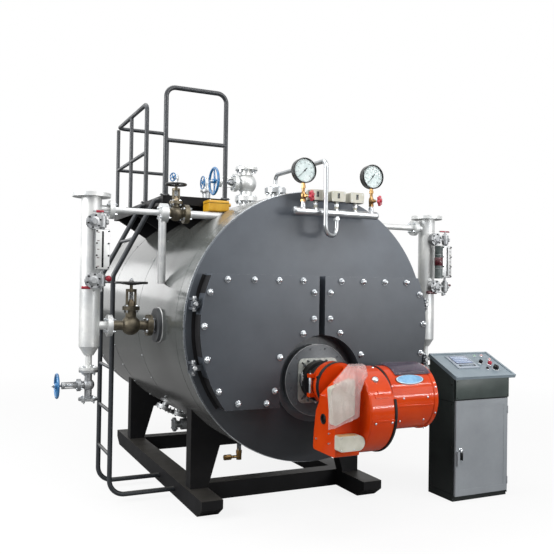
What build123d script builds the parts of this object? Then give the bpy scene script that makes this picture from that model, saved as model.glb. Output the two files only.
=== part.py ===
from build123d import *
import math
import os

os.makedirs("parts", exist_ok=True)

# Frame: X to the right seen from the front, Y from front to back, Z up, ground at Z = 0.
# All sizes in millimetres.

# shell and its ends
SHELL_R = 900.0          # outside of the cladding
SHELL_WALL = 16.0
SHELL_LEN = 3080.0
AXIS_Z = 1270.0          # height of the shell's axis
FRONT_T = 20.0           # front plate, stands in front of Y = 0
REAR_T = 20.0
END_STEP = 4.0           # the end plates are this much smaller than the cladding
TUBE_SHEET_Y = 320.0     # depth of the front smokebox
TUBE_SHEET_T = 24.0
TUBE_R = 34.0            # smoke tubes
TUBE_PITCH = 120.0
TUBE_ROW = 130.0         # lowest row above the shell's axis
SEAT = 0.3               # air left between two curved faces
CUT = 10.0               # how far a cut runs past a face
TOP_Z = AXIS_Z + SHELL_R

# skid
RAIL_INSET = 205.0       # shell's side in to the outer face of a rail
RAIL_X_OUT = SHELL_R - RAIL_INSET
RAIL_W = 150.0
RAIL_H = 122.0
RAIL_Y0 = 190.0
RAIL_Y1 = SHELL_LEN - 415.0
RAIL_NOSE = 60.0         # upright part of the cut ends
RAIL_CUT = 90.0
SADDLE_Y0 = 490.0
SADDLE_Y1 = SHELL_LEN - 855.0
SADDLE_D = 100.0
SADDLE_IN = 20.0         # rail's outer face in to the leg's
SADDLE_FOOT = 130.0
SADDLE_HEAD = 215.0
SADDLE_ARCH = 40.0       # lower edge of the plate between the legs, above the shell's bottom
BEAM_D = 120.0
BEAM_WALL = 10.0
BEAM_Y0 = SADDLE_Y0 + 100.0
BEAM_Y1 = SADDLE_Y1 + 15.0

# smokebox doors and the burner opening
DOOR_R = SHELL_R - 66.0
DOOR_TOP = 335.0         # above the shell's axis
DOOR_BOTTOM = 505.0      # below the shell's axis
DOOR_T = 106.0
DOOR_GAP = 6.0           # face of the front plate to back of the door
DOOR_SLOT = 22.0         # half the slot between the doors
DOOR_LAP = 70.0          # how far the doors lap over the front plate's opening
RING_Z = AXIS_Z - 350.0  # axis of the burner and the furnace
RING_CUT_R = 300.0
RING_BASE_R = 280.0
RING_BASE_T = 12.0
RING_R = 236.0
RING_WALL = 14.0
RING_LEN = 52.0
FURNACE_R = 270.0
FURNACE_WALL = 12.0
FURNACE_LEN = SHELL_LEN - 400.0
HINGE_X = DOOR_R + 24.0
HINGE_Y = -(FRONT_T + DOOR_GAP + 56.0)
HINGE_Z = (AXIS_Z + 150.0, AXIS_Z - 240.0)
HINGE_PIN_R = 12.0
HINGE_EYE_R = 17.0       # bracket plates round the pin
HINGE_KNUCKLE_R = 24.0
HINGE_KNUCKLE = 32.0     # height of the door's knuckle
HINGE_AIR = 6.0          # knuckle to bracket plate
HINGE_PLATE_T = 14.0

# flue outlet at the rear
FLUE_X = 420.0           # half the box
FLUE_Z0 = AXIS_Z + 40.0
FLUE_Z1 = AXIS_Z + 640.0
FLUE_DEPTH = 120.0
FLUE_WALL = 12.0
FLUE_AXIS_Z = (FLUE_Z0 + FLUE_Z1) / 2
FLUE_R = 175.0
FLUE_PIPE = 60.0
FLUE_FLANGE_R = 220.0
FLUE_PCD_R = 200.0
COVER_Z = RING_Z - 30.0
COVER_R = 300.0
COVER_LID_R = 250.0
COVER_T = 60.0

# burner
PLATE_W = 290.0
PLATE_T = 16.0
PLATE_CORNER = 38.0
PLATE_Y1 = -FRONT_T - RING_LEN
PLATE_Y0 = PLATE_Y1 - PLATE_T
NOZZLE_R = 110.0
NOZZLE_WALL = 10.0
NOZZLE_IN = 230.0        # reach into the furnace
NECK_R = 132.0           # black sleeve round the blast tube
ARCH_R = 145.0           # hinged ring on the head's back
ARCH_T = 34.0
HEAD_X0 = -145.0
HEAD_Y1 = PLATE_Y0 - 212.0
HEAD_Y0 = HEAD_Y1 - 275.0
HEAD_Z0 = RING_Z - 390.0
HEAD_EAVE = 344.0        # height of the head's low left edge
HEAD_RIDGE = 515.0       # height where it meets the fan scroll
SCROLL_X0 = 20.0
SCROLL_X1 = 200.0
SCROLL_R = 262.0
SCROLL_Y = HEAD_Y1 - 140.0
SCROLL_Z = RING_Z - 135.0
SCROLL_FILLET = 22.0
GROOVE = 12.0            # waist between scroll and air intake
INTAKE_X1 = 545.0
INTAKE_R = 200.0
INTAKE_Z = RING_Z - 75.0
INTAKE_RIM = 7.0
SERVO_X0 = -150.0
SERVO_W = 168.0
SERVO_H = 90.0
SERVO_D = 65.0
SERVO_RISE = 93.0        # its middle above the head's lower edge
PANEL_Z0 = RING_Z - 196.0
PANEL_H = 216.0
PANEL_W = 160.0
PANEL_T = 50.0
PANEL_RISE = 62.0        # its right side stands this much higher

# water columns
COL_X = SHELL_R + 465.0
COL_Y = 570.0
COL_R = 66.5
STEAM_PIPE_Z = TOP_Z - 140.0
WATER_PIPE_Z = AXIS_Z - 15.0
COL_Z0 = WATER_PIPE_Z - 135.0
COL_Z1 = STEAM_PIPE_Z + 75.0
COL_CAP = 60.0           # cone below the column
COL_FLANGE_R = 125.0
COL_FLANGE_T = 26.0
BRANCH_X = COL_X - 130.0
BRANCH_R = 27.0
SMALL_FLANGE_R = 62.0
WATER_FLANGE_R = 72.0
FLANGE_T = 16.0
DRAIN_TOP_Z = COL_Z0 - 155.0
DRAIN_Z = DRAIN_TOP_Z - 99.0
DRAIN_FOOT_Z = DRAIN_Z - 102.0
STEAM_VALVE_X = SHELL_R - 112.0
STEAM_LEG = 94.0         # valve out to the leg pipe
STEAM_LEG_R = 27.0
WATER_VALVE_X = SHELL_R + 190.0
STEAM_STEM_R = 9.0
WATER_STEM_R = 11.0
DRAIN_STEM_R = 8.0
GLASS_Z0 = STEAM_PIPE_Z - 405.0
GLASS_Z1 = STEAM_PIPE_Z - 145.0
GLASS_W = 92.0
GLASS_T = 24.0
GLASS_OUT = (54.0, 102.0)  # cock out to the glass plate, left and right gauge
FLOAT_R = 32.0           # float tube beside the right glass
COCK_R = 50.0
COCK_UP = 50.0           # glass plate up to its cock
COCK_DOWN = 72.0

# handwheels: outer radius and radius of the rim's bar
DRAIN_WHEEL = (84.0, 8.0)
WATER_WHEEL = (112.0, 9.0)
STEAM_WHEEL = (76.0, 7.0)
OUTLET_WHEEL = (116.0, 9.0)
HUB_R = 20.0

# steam outlet, vent and gauge line on top
OUTLET_Y = 1190.0
OUTLET_RISE = 208.0      # shell's top to the valve's middle
OUTLET_PIPE_R = 50.0
OUTLET_FLANGE_R = 92.0
OUTLET_PCD_R = 72.5
OUTLET_STEM_R = 11.0
OUTLET_WHEEL_X = -283.0
VALVE_Z = TOP_Z + OUTLET_RISE
VENT_X = -60.0
VENT_Y = 2000.0
GAUGE_Y = -130.0
RISER_Y = 620.0
RISER_TOP = TOP_Z + 98.0
MANIFOLD_Z = TOP_Z - 148.0
MANIFOLD_R = 26.0
MANIFOLD_X = (-205.0, 400.0)
PIPE_R = 15.0
PIPE_X = -20.0           # its drop in front of the plate
PIPE_Y = GAUGE_Y - 66.0
LOOP_Z = MANIFOLD_Z - 150.0
LOOP_X = 100.0
GAUGE_X = (-150.0, 368.0)
GAUGE_R = 82.0
GAUGE_RISE = 262.0
SWITCH_X = (-60.0, 97.0, 240.0)
SWITCH_W = 104.0
SWITCH_H = 68.0
SWITCH_RISE = 75.0

# platform, rails and ladder
DECK_RISE = 2.0          # deck's top above the shell's top
DECK_T = 62.0
DECK_W = 500.0
DECK_AIR = 22.0          # deck's inner edge to the shell
DECK_WALL = 6.0
DECK_Z = TOP_Z + DECK_RISE
DECK_X1 = -math.sqrt(SHELL_R ** 2 - (SHELL_R + DECK_RISE - DECK_T) ** 2) - DECK_AIR
DECK_X0 = DECK_X1 - DECK_W
DECK_Y0 = 700.0
DECK_Y1 = SHELL_LEN - 790.0
BRACKET_T = 8.0
BRACKET_TIP = 14.0       # their depth at the deck's outer edge
BRACKET_IN = 160.0       # first and last bracket in from the deck's ends
POST_R = 17.0
POST_X = DECK_X0 + 21.0
RAIL_HEIGHT = 800.0
GUARD_TOP = DECK_Z + RAIL_HEIGHT - POST_R
GUARD_MID = DECK_Z + RAIL_HEIGHT / 2
REAR_POST_Y = DECK_Y1 - 28.0
GAP_POST_IN = 560.0      # deck's front to the post behind the ladder's gap
GAP_POST_Y = DECK_Y0 + GAP_POST_IN
FRONT_POST_Y = DECK_Y0 + 23.0
INNER_POST_X = DECK_X1 - POST_R - 4.0
LADDER_OUT = 320.0       # deck's edge out to the upright stiles
LADDER_IN = 100.0        # deck's front to the first stile
LADDER_W = 400.0
LADDER_X = DECK_X0 - LADDER_OUT
LADDER_Y = (DECK_Y0 + LADDER_IN, DECK_Y0 + LADDER_IN + LADDER_W)
LADDER_R = 17.0
LADDER_FOOT_Z = 50.0
LADDER_KNEE = 582.0      # deck down to the bend of the stiles
LADDER_KNEE_Z = DECK_Z - LADDER_KNEE
LADDER_HEAD_Z = DECK_Z - DECK_T / 2
LADDER_BENDS = [110.0, 60.0, 26.0]
RUNG_R = 12.0
RUNG_Z = 330.0           # lowest rung
RUNG_PITCH = 305.0
RUNGS = 6

# control cabinet
CAB_AWAY = 205.0         # shell's side to the cabinet
CAB_W = 500.0
CAB_X0 = SHELL_R + CAB_AWAY
CAB_X1 = CAB_X0 + CAB_W
CAB_Y0 = -112.0
CAB_Y1 = CAB_Y0 + 280.0
CAB_FRONT_Z = 885.0
CAB_BACK_Z = CAB_FRONT_Z + 123.0
CAB_WALL = 6.0
CAB_DOOR_Z0 = 40.0
CAB_DOOR_Z1 = CAB_FRONT_Z - 158.0
CAB_LIP = 60.0           # the sloped panel is this much wider than the cabinet, all on its right
CAB_DOOR_T = 22.0
CAB_HINGE_X = CAB_X1 - 12.0
CAB_HINGE_Y = CAB_Y0 - 14.0
CAB_PIN_R = 4.0
CAB_PIN_IN = 24.0        # how far a pin reaches into the door


def along_x(x0, x1, y, z, r, mode=Mode.ADD):
    with Locations(Location(((x0 + x1) / 2, y, z), (0, 90, 0))):
        Cylinder(r, abs(x1 - x0), mode=mode)


def along_y(y0, y1, x, z, r, mode=Mode.ADD):
    with Locations(Location((x, (y0 + y1) / 2, z), (90, 0, 0))):
        Cylinder(r, abs(y1 - y0), mode=mode)


def along_z(z0, z1, x, y, r, mode=Mode.ADD):
    with Locations((x, y, (z0 + z1) / 2)):
        Cylinder(r, abs(z1 - z0), mode=mode)


def block(x0, x1, y0, y1, z0, z1, mode=Mode.ADD):
    with Locations(((x0 + x1) / 2, (y0 + y1) / 2, (z0 + z1) / 2)):
        Box(abs(x1 - x0), abs(y1 - y0), abs(z1 - z0), mode=mode)


def cut_shell():
    along_y(-CUT, SHELL_LEN + CUT, 0, AXIS_Z, SHELL_R + SEAT, Mode.SUBTRACT)


def shell_x(z):
    return math.sqrt(SHELL_R ** 2 - (z - AXIS_Z) ** 2)


# handwheel on a stem along the place's own Z, with a six-sided rim and four spokes
def handwheel(place, wheel, stem_r):
    r, rim = wheel
    with Locations(place):
        Cylinder(r, 0.9 * rim)
        with Locations(Location((0, 0, 0.45 * rim)), Location((0, 0, -0.45 * rim), (180, 0, 0))):
            Cone(r, r - 0.7 * rim, 0.5 * rim, align=(Align.CENTER, Align.CENTER, Align.MIN))
        Cylinder(r - 2 * rim, 3 * rim, mode=Mode.SUBTRACT)
        Cylinder(HUB_R, 3 * rim)
        with PolarLocations(0, 2, angular_range=180):
            Box(2 * (r - rim), 1.3 * rim, 1.1 * rim)
        Cylinder(stem_r + 0.5, 8 * rim, mode=Mode.SUBTRACT)


# valve top: bonnet, its flange, two yoke legs and the yoke's head, along the place's own Z
def bonnet(place, r, length, flange_r, leg, stem_r, stem_end):
    with Locations(place):
        Cylinder(r, 0.45 * length, align=(Align.CENTER, Align.CENTER, Align.MIN))
        with Locations((0, 0, 0.3 * length)):
            Cylinder(flange_r, 0.13 * length, align=(Align.CENTER, Align.CENTER, Align.MIN))
        for side in (-1, 1):
            with Locations((side * 0.8 * r, 0, 0.4 * length)):
                Box(leg, 1.6 * leg, 0.6 * length, align=(Align.CENTER, Align.CENTER, Align.MIN))
        with Locations((0, 0, 0.9 * length)):
            Cylinder(r, 0.1 * length, align=(Align.CENTER, Align.CENTER, Align.MIN))
        Cylinder(stem_r, stem_end, align=(Align.CENTER, Align.CENTER, Align.MIN))


# shell: a plain cylinder open at both ends
with BuildPart() as shell:
    along_y(0, SHELL_LEN, 0, AXIS_Z, SHELL_R)
    along_y(-CUT, SHELL_LEN + CUT, 0, AXIS_Z, SHELL_R - SHELL_WALL, Mode.SUBTRACT)
shell.part.label = "shell"
export_step(shell.part, "parts/shell.step")

# front plate with one opening for both doors and the burner, and a mullion behind the slot
with BuildPart() as front_plate:
    along_y(-FRONT_T, 0, 0, AXIS_Z, SHELL_R - END_STEP)
    with BuildSketch(Plane.XZ.offset(-CUT)) as front_cut:
        with Locations((0, AXIS_Z)):
            Circle(DOOR_R - DOOR_LAP - 20)
        with Locations((0, AXIS_Z + DOOR_TOP - DOOR_LAP)):
            Rectangle(2 * DOOR_R, 2 * SHELL_R, align=(Align.CENTER, Align.MIN), mode=Mode.SUBTRACT)
        with Locations((0, AXIS_Z - DOOR_BOTTOM + DOOR_LAP)):
            Rectangle(2 * DOOR_R, 2 * SHELL_R, align=(Align.CENTER, Align.MAX), mode=Mode.SUBTRACT)
        with Locations((0, RING_Z)):
            Circle(RING_CUT_R + DOOR_LAP, mode=Mode.SUBTRACT)
            Rectangle(2 * (RING_CUT_R + DOOR_LAP), SHELL_R, align=(Align.CENTER, Align.MAX),
                      mode=Mode.SUBTRACT)
            Rectangle(2 * (DOOR_SLOT + DOOR_LAP), 2 * SHELL_R, mode=Mode.SUBTRACT)
    extrude(amount=FRONT_T + 2 * CUT, mode=Mode.SUBTRACT)
    along_y(-FRONT_T - CUT, CUT, 0, RING_Z, FURNACE_R - FURNACE_WALL, Mode.SUBTRACT)
front_plate.part.label = "front_plate"
export_step(front_plate.part, "parts/front_plate.step")

# tube sheet behind the smokebox, with the ends of the smoke tubes
with BuildPart() as tube_sheet:
    along_y(TUBE_SHEET_Y, TUBE_SHEET_Y + TUBE_SHEET_T, 0, AXIS_Z, SHELL_R - SHELL_WALL - SEAT)
    along_y(TUBE_SHEET_Y - CUT, TUBE_SHEET_Y + TUBE_SHEET_T + CUT, 0, RING_Z, FURNACE_R + SEAT,
            Mode.SUBTRACT)
    for side in (-1, 1):
        with Locations(Location((side * 2.5 * TUBE_PITCH, TUBE_SHEET_Y, AXIS_Z + TUBE_ROW + TUBE_PITCH),
                                (90, 0, 0))):
            with GridLocations(TUBE_PITCH, TUBE_PITCH, 2, 3):
                Cylinder(TUBE_R, 4 * TUBE_SHEET_T, mode=Mode.SUBTRACT)
tube_sheet.part.label = "tube_sheet"
export_step(tube_sheet.part, "parts/tube_sheet.step")

# furnace tube from the front plate towards the rear, closed at its far end
with BuildPart() as furnace_tube:
    along_y(0, FURNACE_LEN, 0, RING_Z, FURNACE_R)
    along_y(-CUT, FURNACE_LEN - 2 * FURNACE_WALL, 0, RING_Z, FURNACE_R - FURNACE_WALL, Mode.SUBTRACT)
furnace_tube.part.label = "furnace_tube"
export_step(furnace_tube.part, "parts/furnace_tube.step")

# rear plate and the flue collector bolted to it
with BuildPart() as rear_plate:
    along_y(SHELL_LEN, SHELL_LEN + REAR_T, 0, AXIS_Z, SHELL_R - END_STEP)
    along_y(SHELL_LEN - CUT, SHELL_LEN + REAR_T + CUT, 0, FLUE_AXIS_Z, FLUE_FLANGE_R + 40, Mode.SUBTRACT)
rear_plate.part.label = "rear_plate"
export_step(rear_plate.part, "parts/rear_plate.step")

FLUE_Y0 = SHELL_LEN + REAR_T
FLUE_Y1 = FLUE_Y0 + FLUE_DEPTH
FLUE_END = FLUE_Y1 + FLUE_PIPE
with BuildPart() as flue_box:
    block(-FLUE_X, FLUE_X, FLUE_Y0, FLUE_Y1, FLUE_Z0, FLUE_Z1)
    fillet(flue_box.edges().filter_by(Axis.Y), 30)
    block(-FLUE_X + FLUE_WALL, FLUE_X - FLUE_WALL, FLUE_Y0 - CUT, FLUE_Y1 - FLUE_WALL,
          FLUE_Z0 + FLUE_WALL, FLUE_Z1 - FLUE_WALL, Mode.SUBTRACT)
    along_y(FLUE_Y1 - FLUE_WALL, FLUE_END, 0, FLUE_AXIS_Z, FLUE_R)
    along_y(FLUE_END - FLUE_WALL, FLUE_END, 0, FLUE_AXIS_Z, FLUE_FLANGE_R)
    along_y(FLUE_Y1 - 2 * FLUE_WALL, FLUE_END + CUT, 0, FLUE_AXIS_Z, FLUE_R - FLUE_WALL, Mode.SUBTRACT)
    with Locations(Location((0, FLUE_END, FLUE_AXIS_Z), (90, 0, 0))):
        with PolarLocations(FLUE_PCD_R, 8):
            Cylinder(7, 3 * FLUE_WALL, mode=Mode.SUBTRACT)
flue_box.part.label = "flue_box"
export_step(flue_box.part, "parts/flue_box.step")

with BuildPart() as rear_cover:
    along_y(FLUE_Y0, FLUE_Y0 + COVER_T, 0, COVER_Z, COVER_R)
    chamfer(rear_cover.faces().sort_by(Axis.Y)[-1].edges(), 12)
    along_y(FLUE_Y0 + COVER_T, FLUE_Y0 + COVER_T + REAR_T, 0, COVER_Z, COVER_LID_R)
rear_cover.part.label = "rear_cover"
export_step(rear_cover.part, "parts/rear_cover.step")

# skid rails with cut ends
for name, x in (("skid_left", -RAIL_X_OUT), ("skid_right", RAIL_X_OUT - RAIL_W)):
    with BuildPart() as rail:
        with BuildSketch(Plane.YZ.offset(x)):
            Polygon(
                (RAIL_Y0, RAIL_H), (RAIL_Y0, RAIL_H - RAIL_NOSE), (RAIL_Y0 + RAIL_CUT, 0),
                (RAIL_Y1 - RAIL_CUT, 0), (RAIL_Y1, RAIL_H - RAIL_NOSE), (RAIL_Y1, RAIL_H),
                align=None,
            )
        extrude(amount=RAIL_W)
    rail.part.label = name
    export_step(rail.part, "parts/" + name + ".step")

# cross beams between the skid rails: two box beams, one node
with BuildPart() as cross_beams:
    half = RAIL_X_OUT - RAIL_W
    for y in (BEAM_Y0, BEAM_Y1):
        block(-half, half, y, y + BEAM_D, 0, RAIL_H)
        block(-half - CUT, half + CUT, y + BEAM_WALL, y + BEAM_D - BEAM_WALL, BEAM_WALL,
              RAIL_H - BEAM_WALL, Mode.SUBTRACT)
cross_beams.part.label = "cross_beams"
export_step(cross_beams.part, "parts/cross_beams.step")

# saddles: two tapered legs cut to the shell, one node each
LEG_OUT = RAIL_X_OUT - SADDLE_IN
ARCH_Z = AXIS_Z - SHELL_R + SADDLE_ARCH
for name, y in (("saddle_front", SADDLE_Y0), ("saddle_rear", SADDLE_Y1)):
    with BuildPart() as saddle:
        top_z = AXIS_Z - shell_x(AXIS_Z + LEG_OUT) + 3 * CUT
        with BuildSketch(Plane.XZ.offset(-y)):
            Polygon(
                (-LEG_OUT, RAIL_H), (-LEG_OUT + SADDLE_FOOT, RAIL_H), (-LEG_OUT + SADDLE_HEAD, ARCH_Z),
                (LEG_OUT - SADDLE_HEAD, ARCH_Z), (LEG_OUT - SADDLE_FOOT, RAIL_H), (LEG_OUT, RAIL_H),
                (LEG_OUT, top_z), (-LEG_OUT, top_z),
                align=None,
            )
        extrude(amount=-SADDLE_D)
        cut_shell()
    saddle.part.label = name
    export_step(saddle.part, "parts/" + name + ".step")

# smokebox doors: thick slabs with a round outer edge, cut away round the burner
for name, side in (("door_left", -1), ("door_right", 1)):
    with BuildPart() as door:
        with BuildSketch(Plane.XZ.offset(FRONT_T + DOOR_GAP)) as slab:
            with Locations((0, AXIS_Z)):
                Circle(DOOR_R)
            with Locations((0, AXIS_Z + DOOR_TOP)):
                Rectangle(2 * DOOR_R, DOOR_R, align=(Align.CENTER, Align.MIN), mode=Mode.SUBTRACT)
            with Locations((0, AXIS_Z - DOOR_BOTTOM)):
                Rectangle(2 * DOOR_R, DOOR_R, align=(Align.CENTER, Align.MAX), mode=Mode.SUBTRACT)
            with Locations((-side * (DOOR_R - DOOR_SLOT), AXIS_Z)):
                Rectangle(2 * DOOR_R, 2 * DOOR_R, mode=Mode.SUBTRACT)
            with Locations((0, RING_Z)):
                Circle(RING_CUT_R, mode=Mode.SUBTRACT)
                Rectangle(2 * RING_CUT_R, DOOR_R, align=(Align.CENTER, Align.MAX), mode=Mode.SUBTRACT)
        extrude(amount=DOOR_T)
        for z in HINGE_Z:
            z0 = z - HINGE_KNUCKLE / 2
            z1 = z + HINGE_KNUCKLE / 2
            x_edge = side * (math.sqrt(DOOR_R ** 2 - (z - AXIS_Z) ** 2) - CUT)
            block(x_edge, side * HINGE_X, HINGE_Y - 9, HINGE_Y + 9, z0, z1)
            along_z(z0, z1, side * HINGE_X, HINGE_Y, HINGE_KNUCKLE_R)
            along_z(z0 - CUT, z1 + CUT, side * HINGE_X, HINGE_Y, HINGE_PIN_R + 0.5, Mode.SUBTRACT)
    door.part.label = name
    export_step(door.part, "parts/" + name + ".step")

# hinge brackets with their upright pins, fixed to the front plate
with BuildPart() as door_hinges:
    for side in (-1, 1):
        x = side * HINGE_X
        for z in HINGE_Z:
            near = HINGE_KNUCKLE / 2 + HINGE_AIR
            far = near + HINGE_PLATE_T
            for z0, z1 in ((z + near, z + far), (z - far, z - near)):
                along_z(z0, z1, x, HINGE_Y, HINGE_EYE_R)
                block(x - HINGE_EYE_R, x + HINGE_EYE_R, HINGE_Y, -FRONT_T, z0, z1)
            block(x - HINGE_EYE_R, x + HINGE_EYE_R, -FRONT_T - 12, -FRONT_T, z - far, z + far)
            along_z(z - far - 12, z + far + 12, x, HINGE_Y, HINGE_PIN_R)
door_hinges.part.label = "door_hinges"
export_step(door_hinges.part, "parts/door_hinges.step")

# collar on the front plate that carries the burner plate
with BuildPart() as burner_collar:
    along_y(-FRONT_T - RING_BASE_T, -FRONT_T, 0, RING_Z, RING_BASE_R)
    along_y(-FRONT_T - RING_LEN, -FRONT_T, 0, RING_Z, RING_R)
    along_y(-FRONT_T - RING_LEN - CUT, 0, 0, RING_Z, RING_R - RING_WALL, Mode.SUBTRACT)
burner_collar.part.label = "burner_collar"
export_step(burner_collar.part, "parts/burner_collar.step")

with BuildPart() as burner_plate:
    along_y(PLATE_Y1 - PLATE_T / 2, PLATE_Y1, 0, RING_Z, RING_R)
    with BuildSketch(Plane.XZ.offset(-PLATE_Y1 + PLATE_T / 2)):
        with Locations((0, RING_Z)):
            RectangleRounded(PLATE_W, PLATE_W, PLATE_CORNER)
    extrude(amount=PLATE_T / 2)
    along_y(PLATE_Y0 - CUT, PLATE_Y1 + CUT, 0, RING_Z, NOZZLE_R + SEAT, Mode.SUBTRACT)
burner_plate.part.label = "burner_plate"
export_step(burner_plate.part, "parts/burner_plate.step")

# blast tube through the plate into the furnace, with its black sleeve
with BuildPart() as blast_tube:
    along_y(HEAD_Y1 + ARCH_T, NOZZLE_IN, 0, RING_Z, NOZZLE_R)
    along_y(PLATE_Y0 - 60, PLATE_Y0, 0, RING_Z, NECK_R)
    along_y(HEAD_Y1, NOZZLE_IN + CUT, 0, RING_Z, NOZZLE_R - NOZZLE_WALL, Mode.SUBTRACT)
blast_tube.part.label = "blast_tube"
export_step(blast_tube.part, "parts/blast_tube.step")

# burner head: a housing with a sloped roof and a sloped back, and the hinged ring on its back
with BuildPart() as burner_head:
    ridge_z = HEAD_Z0 + HEAD_RIDGE
    with BuildSketch(Plane.YZ.offset(HEAD_X0)):
        Polygon(
            (HEAD_Y0, HEAD_Z0), (HEAD_Y1, HEAD_Z0), (HEAD_Y1 - 10, HEAD_Z0 + 116),
            (HEAD_Y1 - 33, HEAD_Z0 + 243), (HEAD_Y1 - 70, HEAD_Z0 + 298), (HEAD_Y1 - 110, ridge_z),
            (HEAD_Y0 + 50, ridge_z), (HEAD_Y0 + 8, HEAD_Z0 + 400),
            align=None,
        )
    extrude(amount=SCROLL_X0 - HEAD_X0)
    fillet(burner_head.edges().filter_by(Axis.X).group_by(Axis.Z)[0], 18)
    with BuildSketch(Plane.XZ.offset(-HEAD_Y1)):
        Polygon(
            (HEAD_X0, HEAD_Z0), (SCROLL_X0, HEAD_Z0), (SCROLL_X0, ridge_z), (HEAD_X0, HEAD_Z0 + HEAD_EAVE),
            align=None,
        )
    extrude(amount=HEAD_Y1 - HEAD_Y0, mode=Mode.INTERSECT)
    along_y(HEAD_Y1 - 60, HEAD_Y1 + ARCH_T, 0, RING_Z, ARCH_R)
    along_y(HEAD_Y1 - 40, HEAD_Y1 + ARCH_T + CUT, 0, RING_Z, NOZZLE_R + SEAT, Mode.SUBTRACT)
    for z in (RING_Z + 60, RING_Z - 60):
        block(HEAD_X0 - 30, HEAD_X0 + 50, HEAD_Y1, HEAD_Y1 + ARCH_T, z - 12, z + 12)
    along_z(RING_Z - 72, RING_Z + 72, HEAD_X0 - 16, HEAD_Y1 + ARCH_T / 2, 9)
    along_x(HEAD_X0 - CUT, HEAD_X0 + 12, HEAD_Y0 + 146, HEAD_Z0 + 205, 28, Mode.SUBTRACT)
burner_head.part.label = "burner_head"
export_step(burner_head.part, "parts/burner_head.step")

# fan scroll: a drum on the head's right side with rounded rims, recessed round the hinged ring
with BuildPart() as burner_scroll:
    along_x(SCROLL_X0, SCROLL_X1, SCROLL_Y, SCROLL_Z, SCROLL_R)
    fillet(burner_scroll.edges().filter_by(GeomType.CIRCLE).sort_by(Axis.X)[-1], SCROLL_FILLET)
    fillet(burner_scroll.edges().filter_by(GeomType.CIRCLE).sort_by(Axis.X)[0], SCROLL_FILLET / 2)
    along_y(HEAD_Y1 - 60 - CUT, 0, 0, RING_Z, ARCH_R + CUT, Mode.SUBTRACT)
burner_scroll.part.label = "burner_scroll"
export_step(burner_scroll.part, "parts/burner_scroll.step")

# air intake drum: waist, drum, rolled rim and an open end with the motor behind it
with BuildPart() as burner_intake:
    with BuildSketch(Plane.XY.offset(INTAKE_Z)) as intake_half:
        with BuildLine():
            Polyline(
                (SCROLL_X1, SCROLL_Y), (SCROLL_X1, SCROLL_Y - INTAKE_R + 16),
                (SCROLL_X1 + GROOVE, SCROLL_Y - INTAKE_R + 16), (SCROLL_X1 + GROOVE + 6, SCROLL_Y - INTAKE_R),
                (INTAKE_X1 - 30, SCROLL_Y - INTAKE_R), (INTAKE_X1 - 24, SCROLL_Y - INTAKE_R - INTAKE_RIM),
                (INTAKE_X1, SCROLL_Y - INTAKE_R - INTAKE_RIM), (INTAKE_X1, SCROLL_Y - INTAKE_R + 14),
                (INTAKE_X1 - 60, SCROLL_Y - INTAKE_R + 14), (INTAKE_X1 - 60, SCROLL_Y - 78),
                (INTAKE_X1 - 14, SCROLL_Y - 70), (INTAKE_X1 - 14, SCROLL_Y), (SCROLL_X1, SCROLL_Y),
            )
        make_face()
    revolve(axis=Axis((0, SCROLL_Y, INTAKE_Z), (1, 0, 0)))
burner_intake.part.label = "burner_intake"
export_step(burner_intake.part, "parts/burner_intake.step")

# servo motor box low on the head's front, rounded at its right end
with BuildPart() as burner_servo:
    servo_z = HEAD_Z0 + SERVO_RISE
    servo_end = SERVO_X0 + SERVO_W - SERVO_H / 2
    with BuildSketch(Plane.XZ.offset(-HEAD_Y0)):
        with Locations(((SERVO_X0 + servo_end) / 2, servo_z)):
            Rectangle(servo_end - SERVO_X0, SERVO_H)
        with Locations((servo_end, servo_z)):
            Circle(SERVO_H / 2)
    extrude(amount=SERVO_D)
    fillet(burner_servo.edges().filter_by(Axis.Y).sort_by(Axis.X)[0:2], 12)
burner_servo.part.label = "burner_servo"
export_step(burner_servo.part, "parts/burner_servo.step")

# control panel on the head's front: a flat housing whose top and bottom rise to the right
with BuildPart() as burner_panel:
    with BuildSketch(Plane.XZ.offset(-HEAD_Y0)):
        x0 = HEAD_X0 - 60
        Polygon(
            (x0 + 20, PANEL_Z0), (x0 + PANEL_W, PANEL_Z0 + PANEL_RISE),
            (x0 + PANEL_W, PANEL_Z0 + PANEL_RISE + PANEL_H), (x0, PANEL_Z0 + PANEL_H + 8),
            align=None,
        )
    extrude(amount=PANEL_T)
    fillet(burner_panel.edges().filter_by(Axis.Y), 14)
burner_panel.part.label = "burner_panel"
export_step(burner_panel.part, "parts/burner_panel.step")

# water columns: tube with end flange, rounded foot, drain stub and two flanged branches
for name, side in (("column_left", -1), ("column_right", 1)):
    with BuildPart() as column:
        x = side * COL_X
        along_z(COL_Z0, COL_Z1, x, COL_Y, COL_R)
        with Locations((x, COL_Y, COL_Z0 - COL_CAP / 2)):
            Cone(30, COL_R, COL_CAP)
        along_z(DRAIN_TOP_Z, COL_Z0 - COL_CAP + 2, x, COL_Y, 21)
        along_z(COL_Z1, COL_Z1 + COL_FLANGE_T, x, COL_Y, COL_FLANGE_R)
        along_z(DRAIN_TOP_Z, DRAIN_TOP_Z + FLANGE_T, x, COL_Y, SMALL_FLANGE_R)
        for z, r in ((STEAM_PIPE_Z, SMALL_FLANGE_R), (WATER_PIPE_Z, WATER_FLANGE_R)):
            along_x(x, side * BRANCH_X, COL_Y, z, BRANCH_R)
            along_x(side * (BRANCH_X + FLANGE_T), side * BRANCH_X, COL_Y, z, r)
    column.part.label = name
    export_step(column.part, "parts/" + name + ".step")

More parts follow.
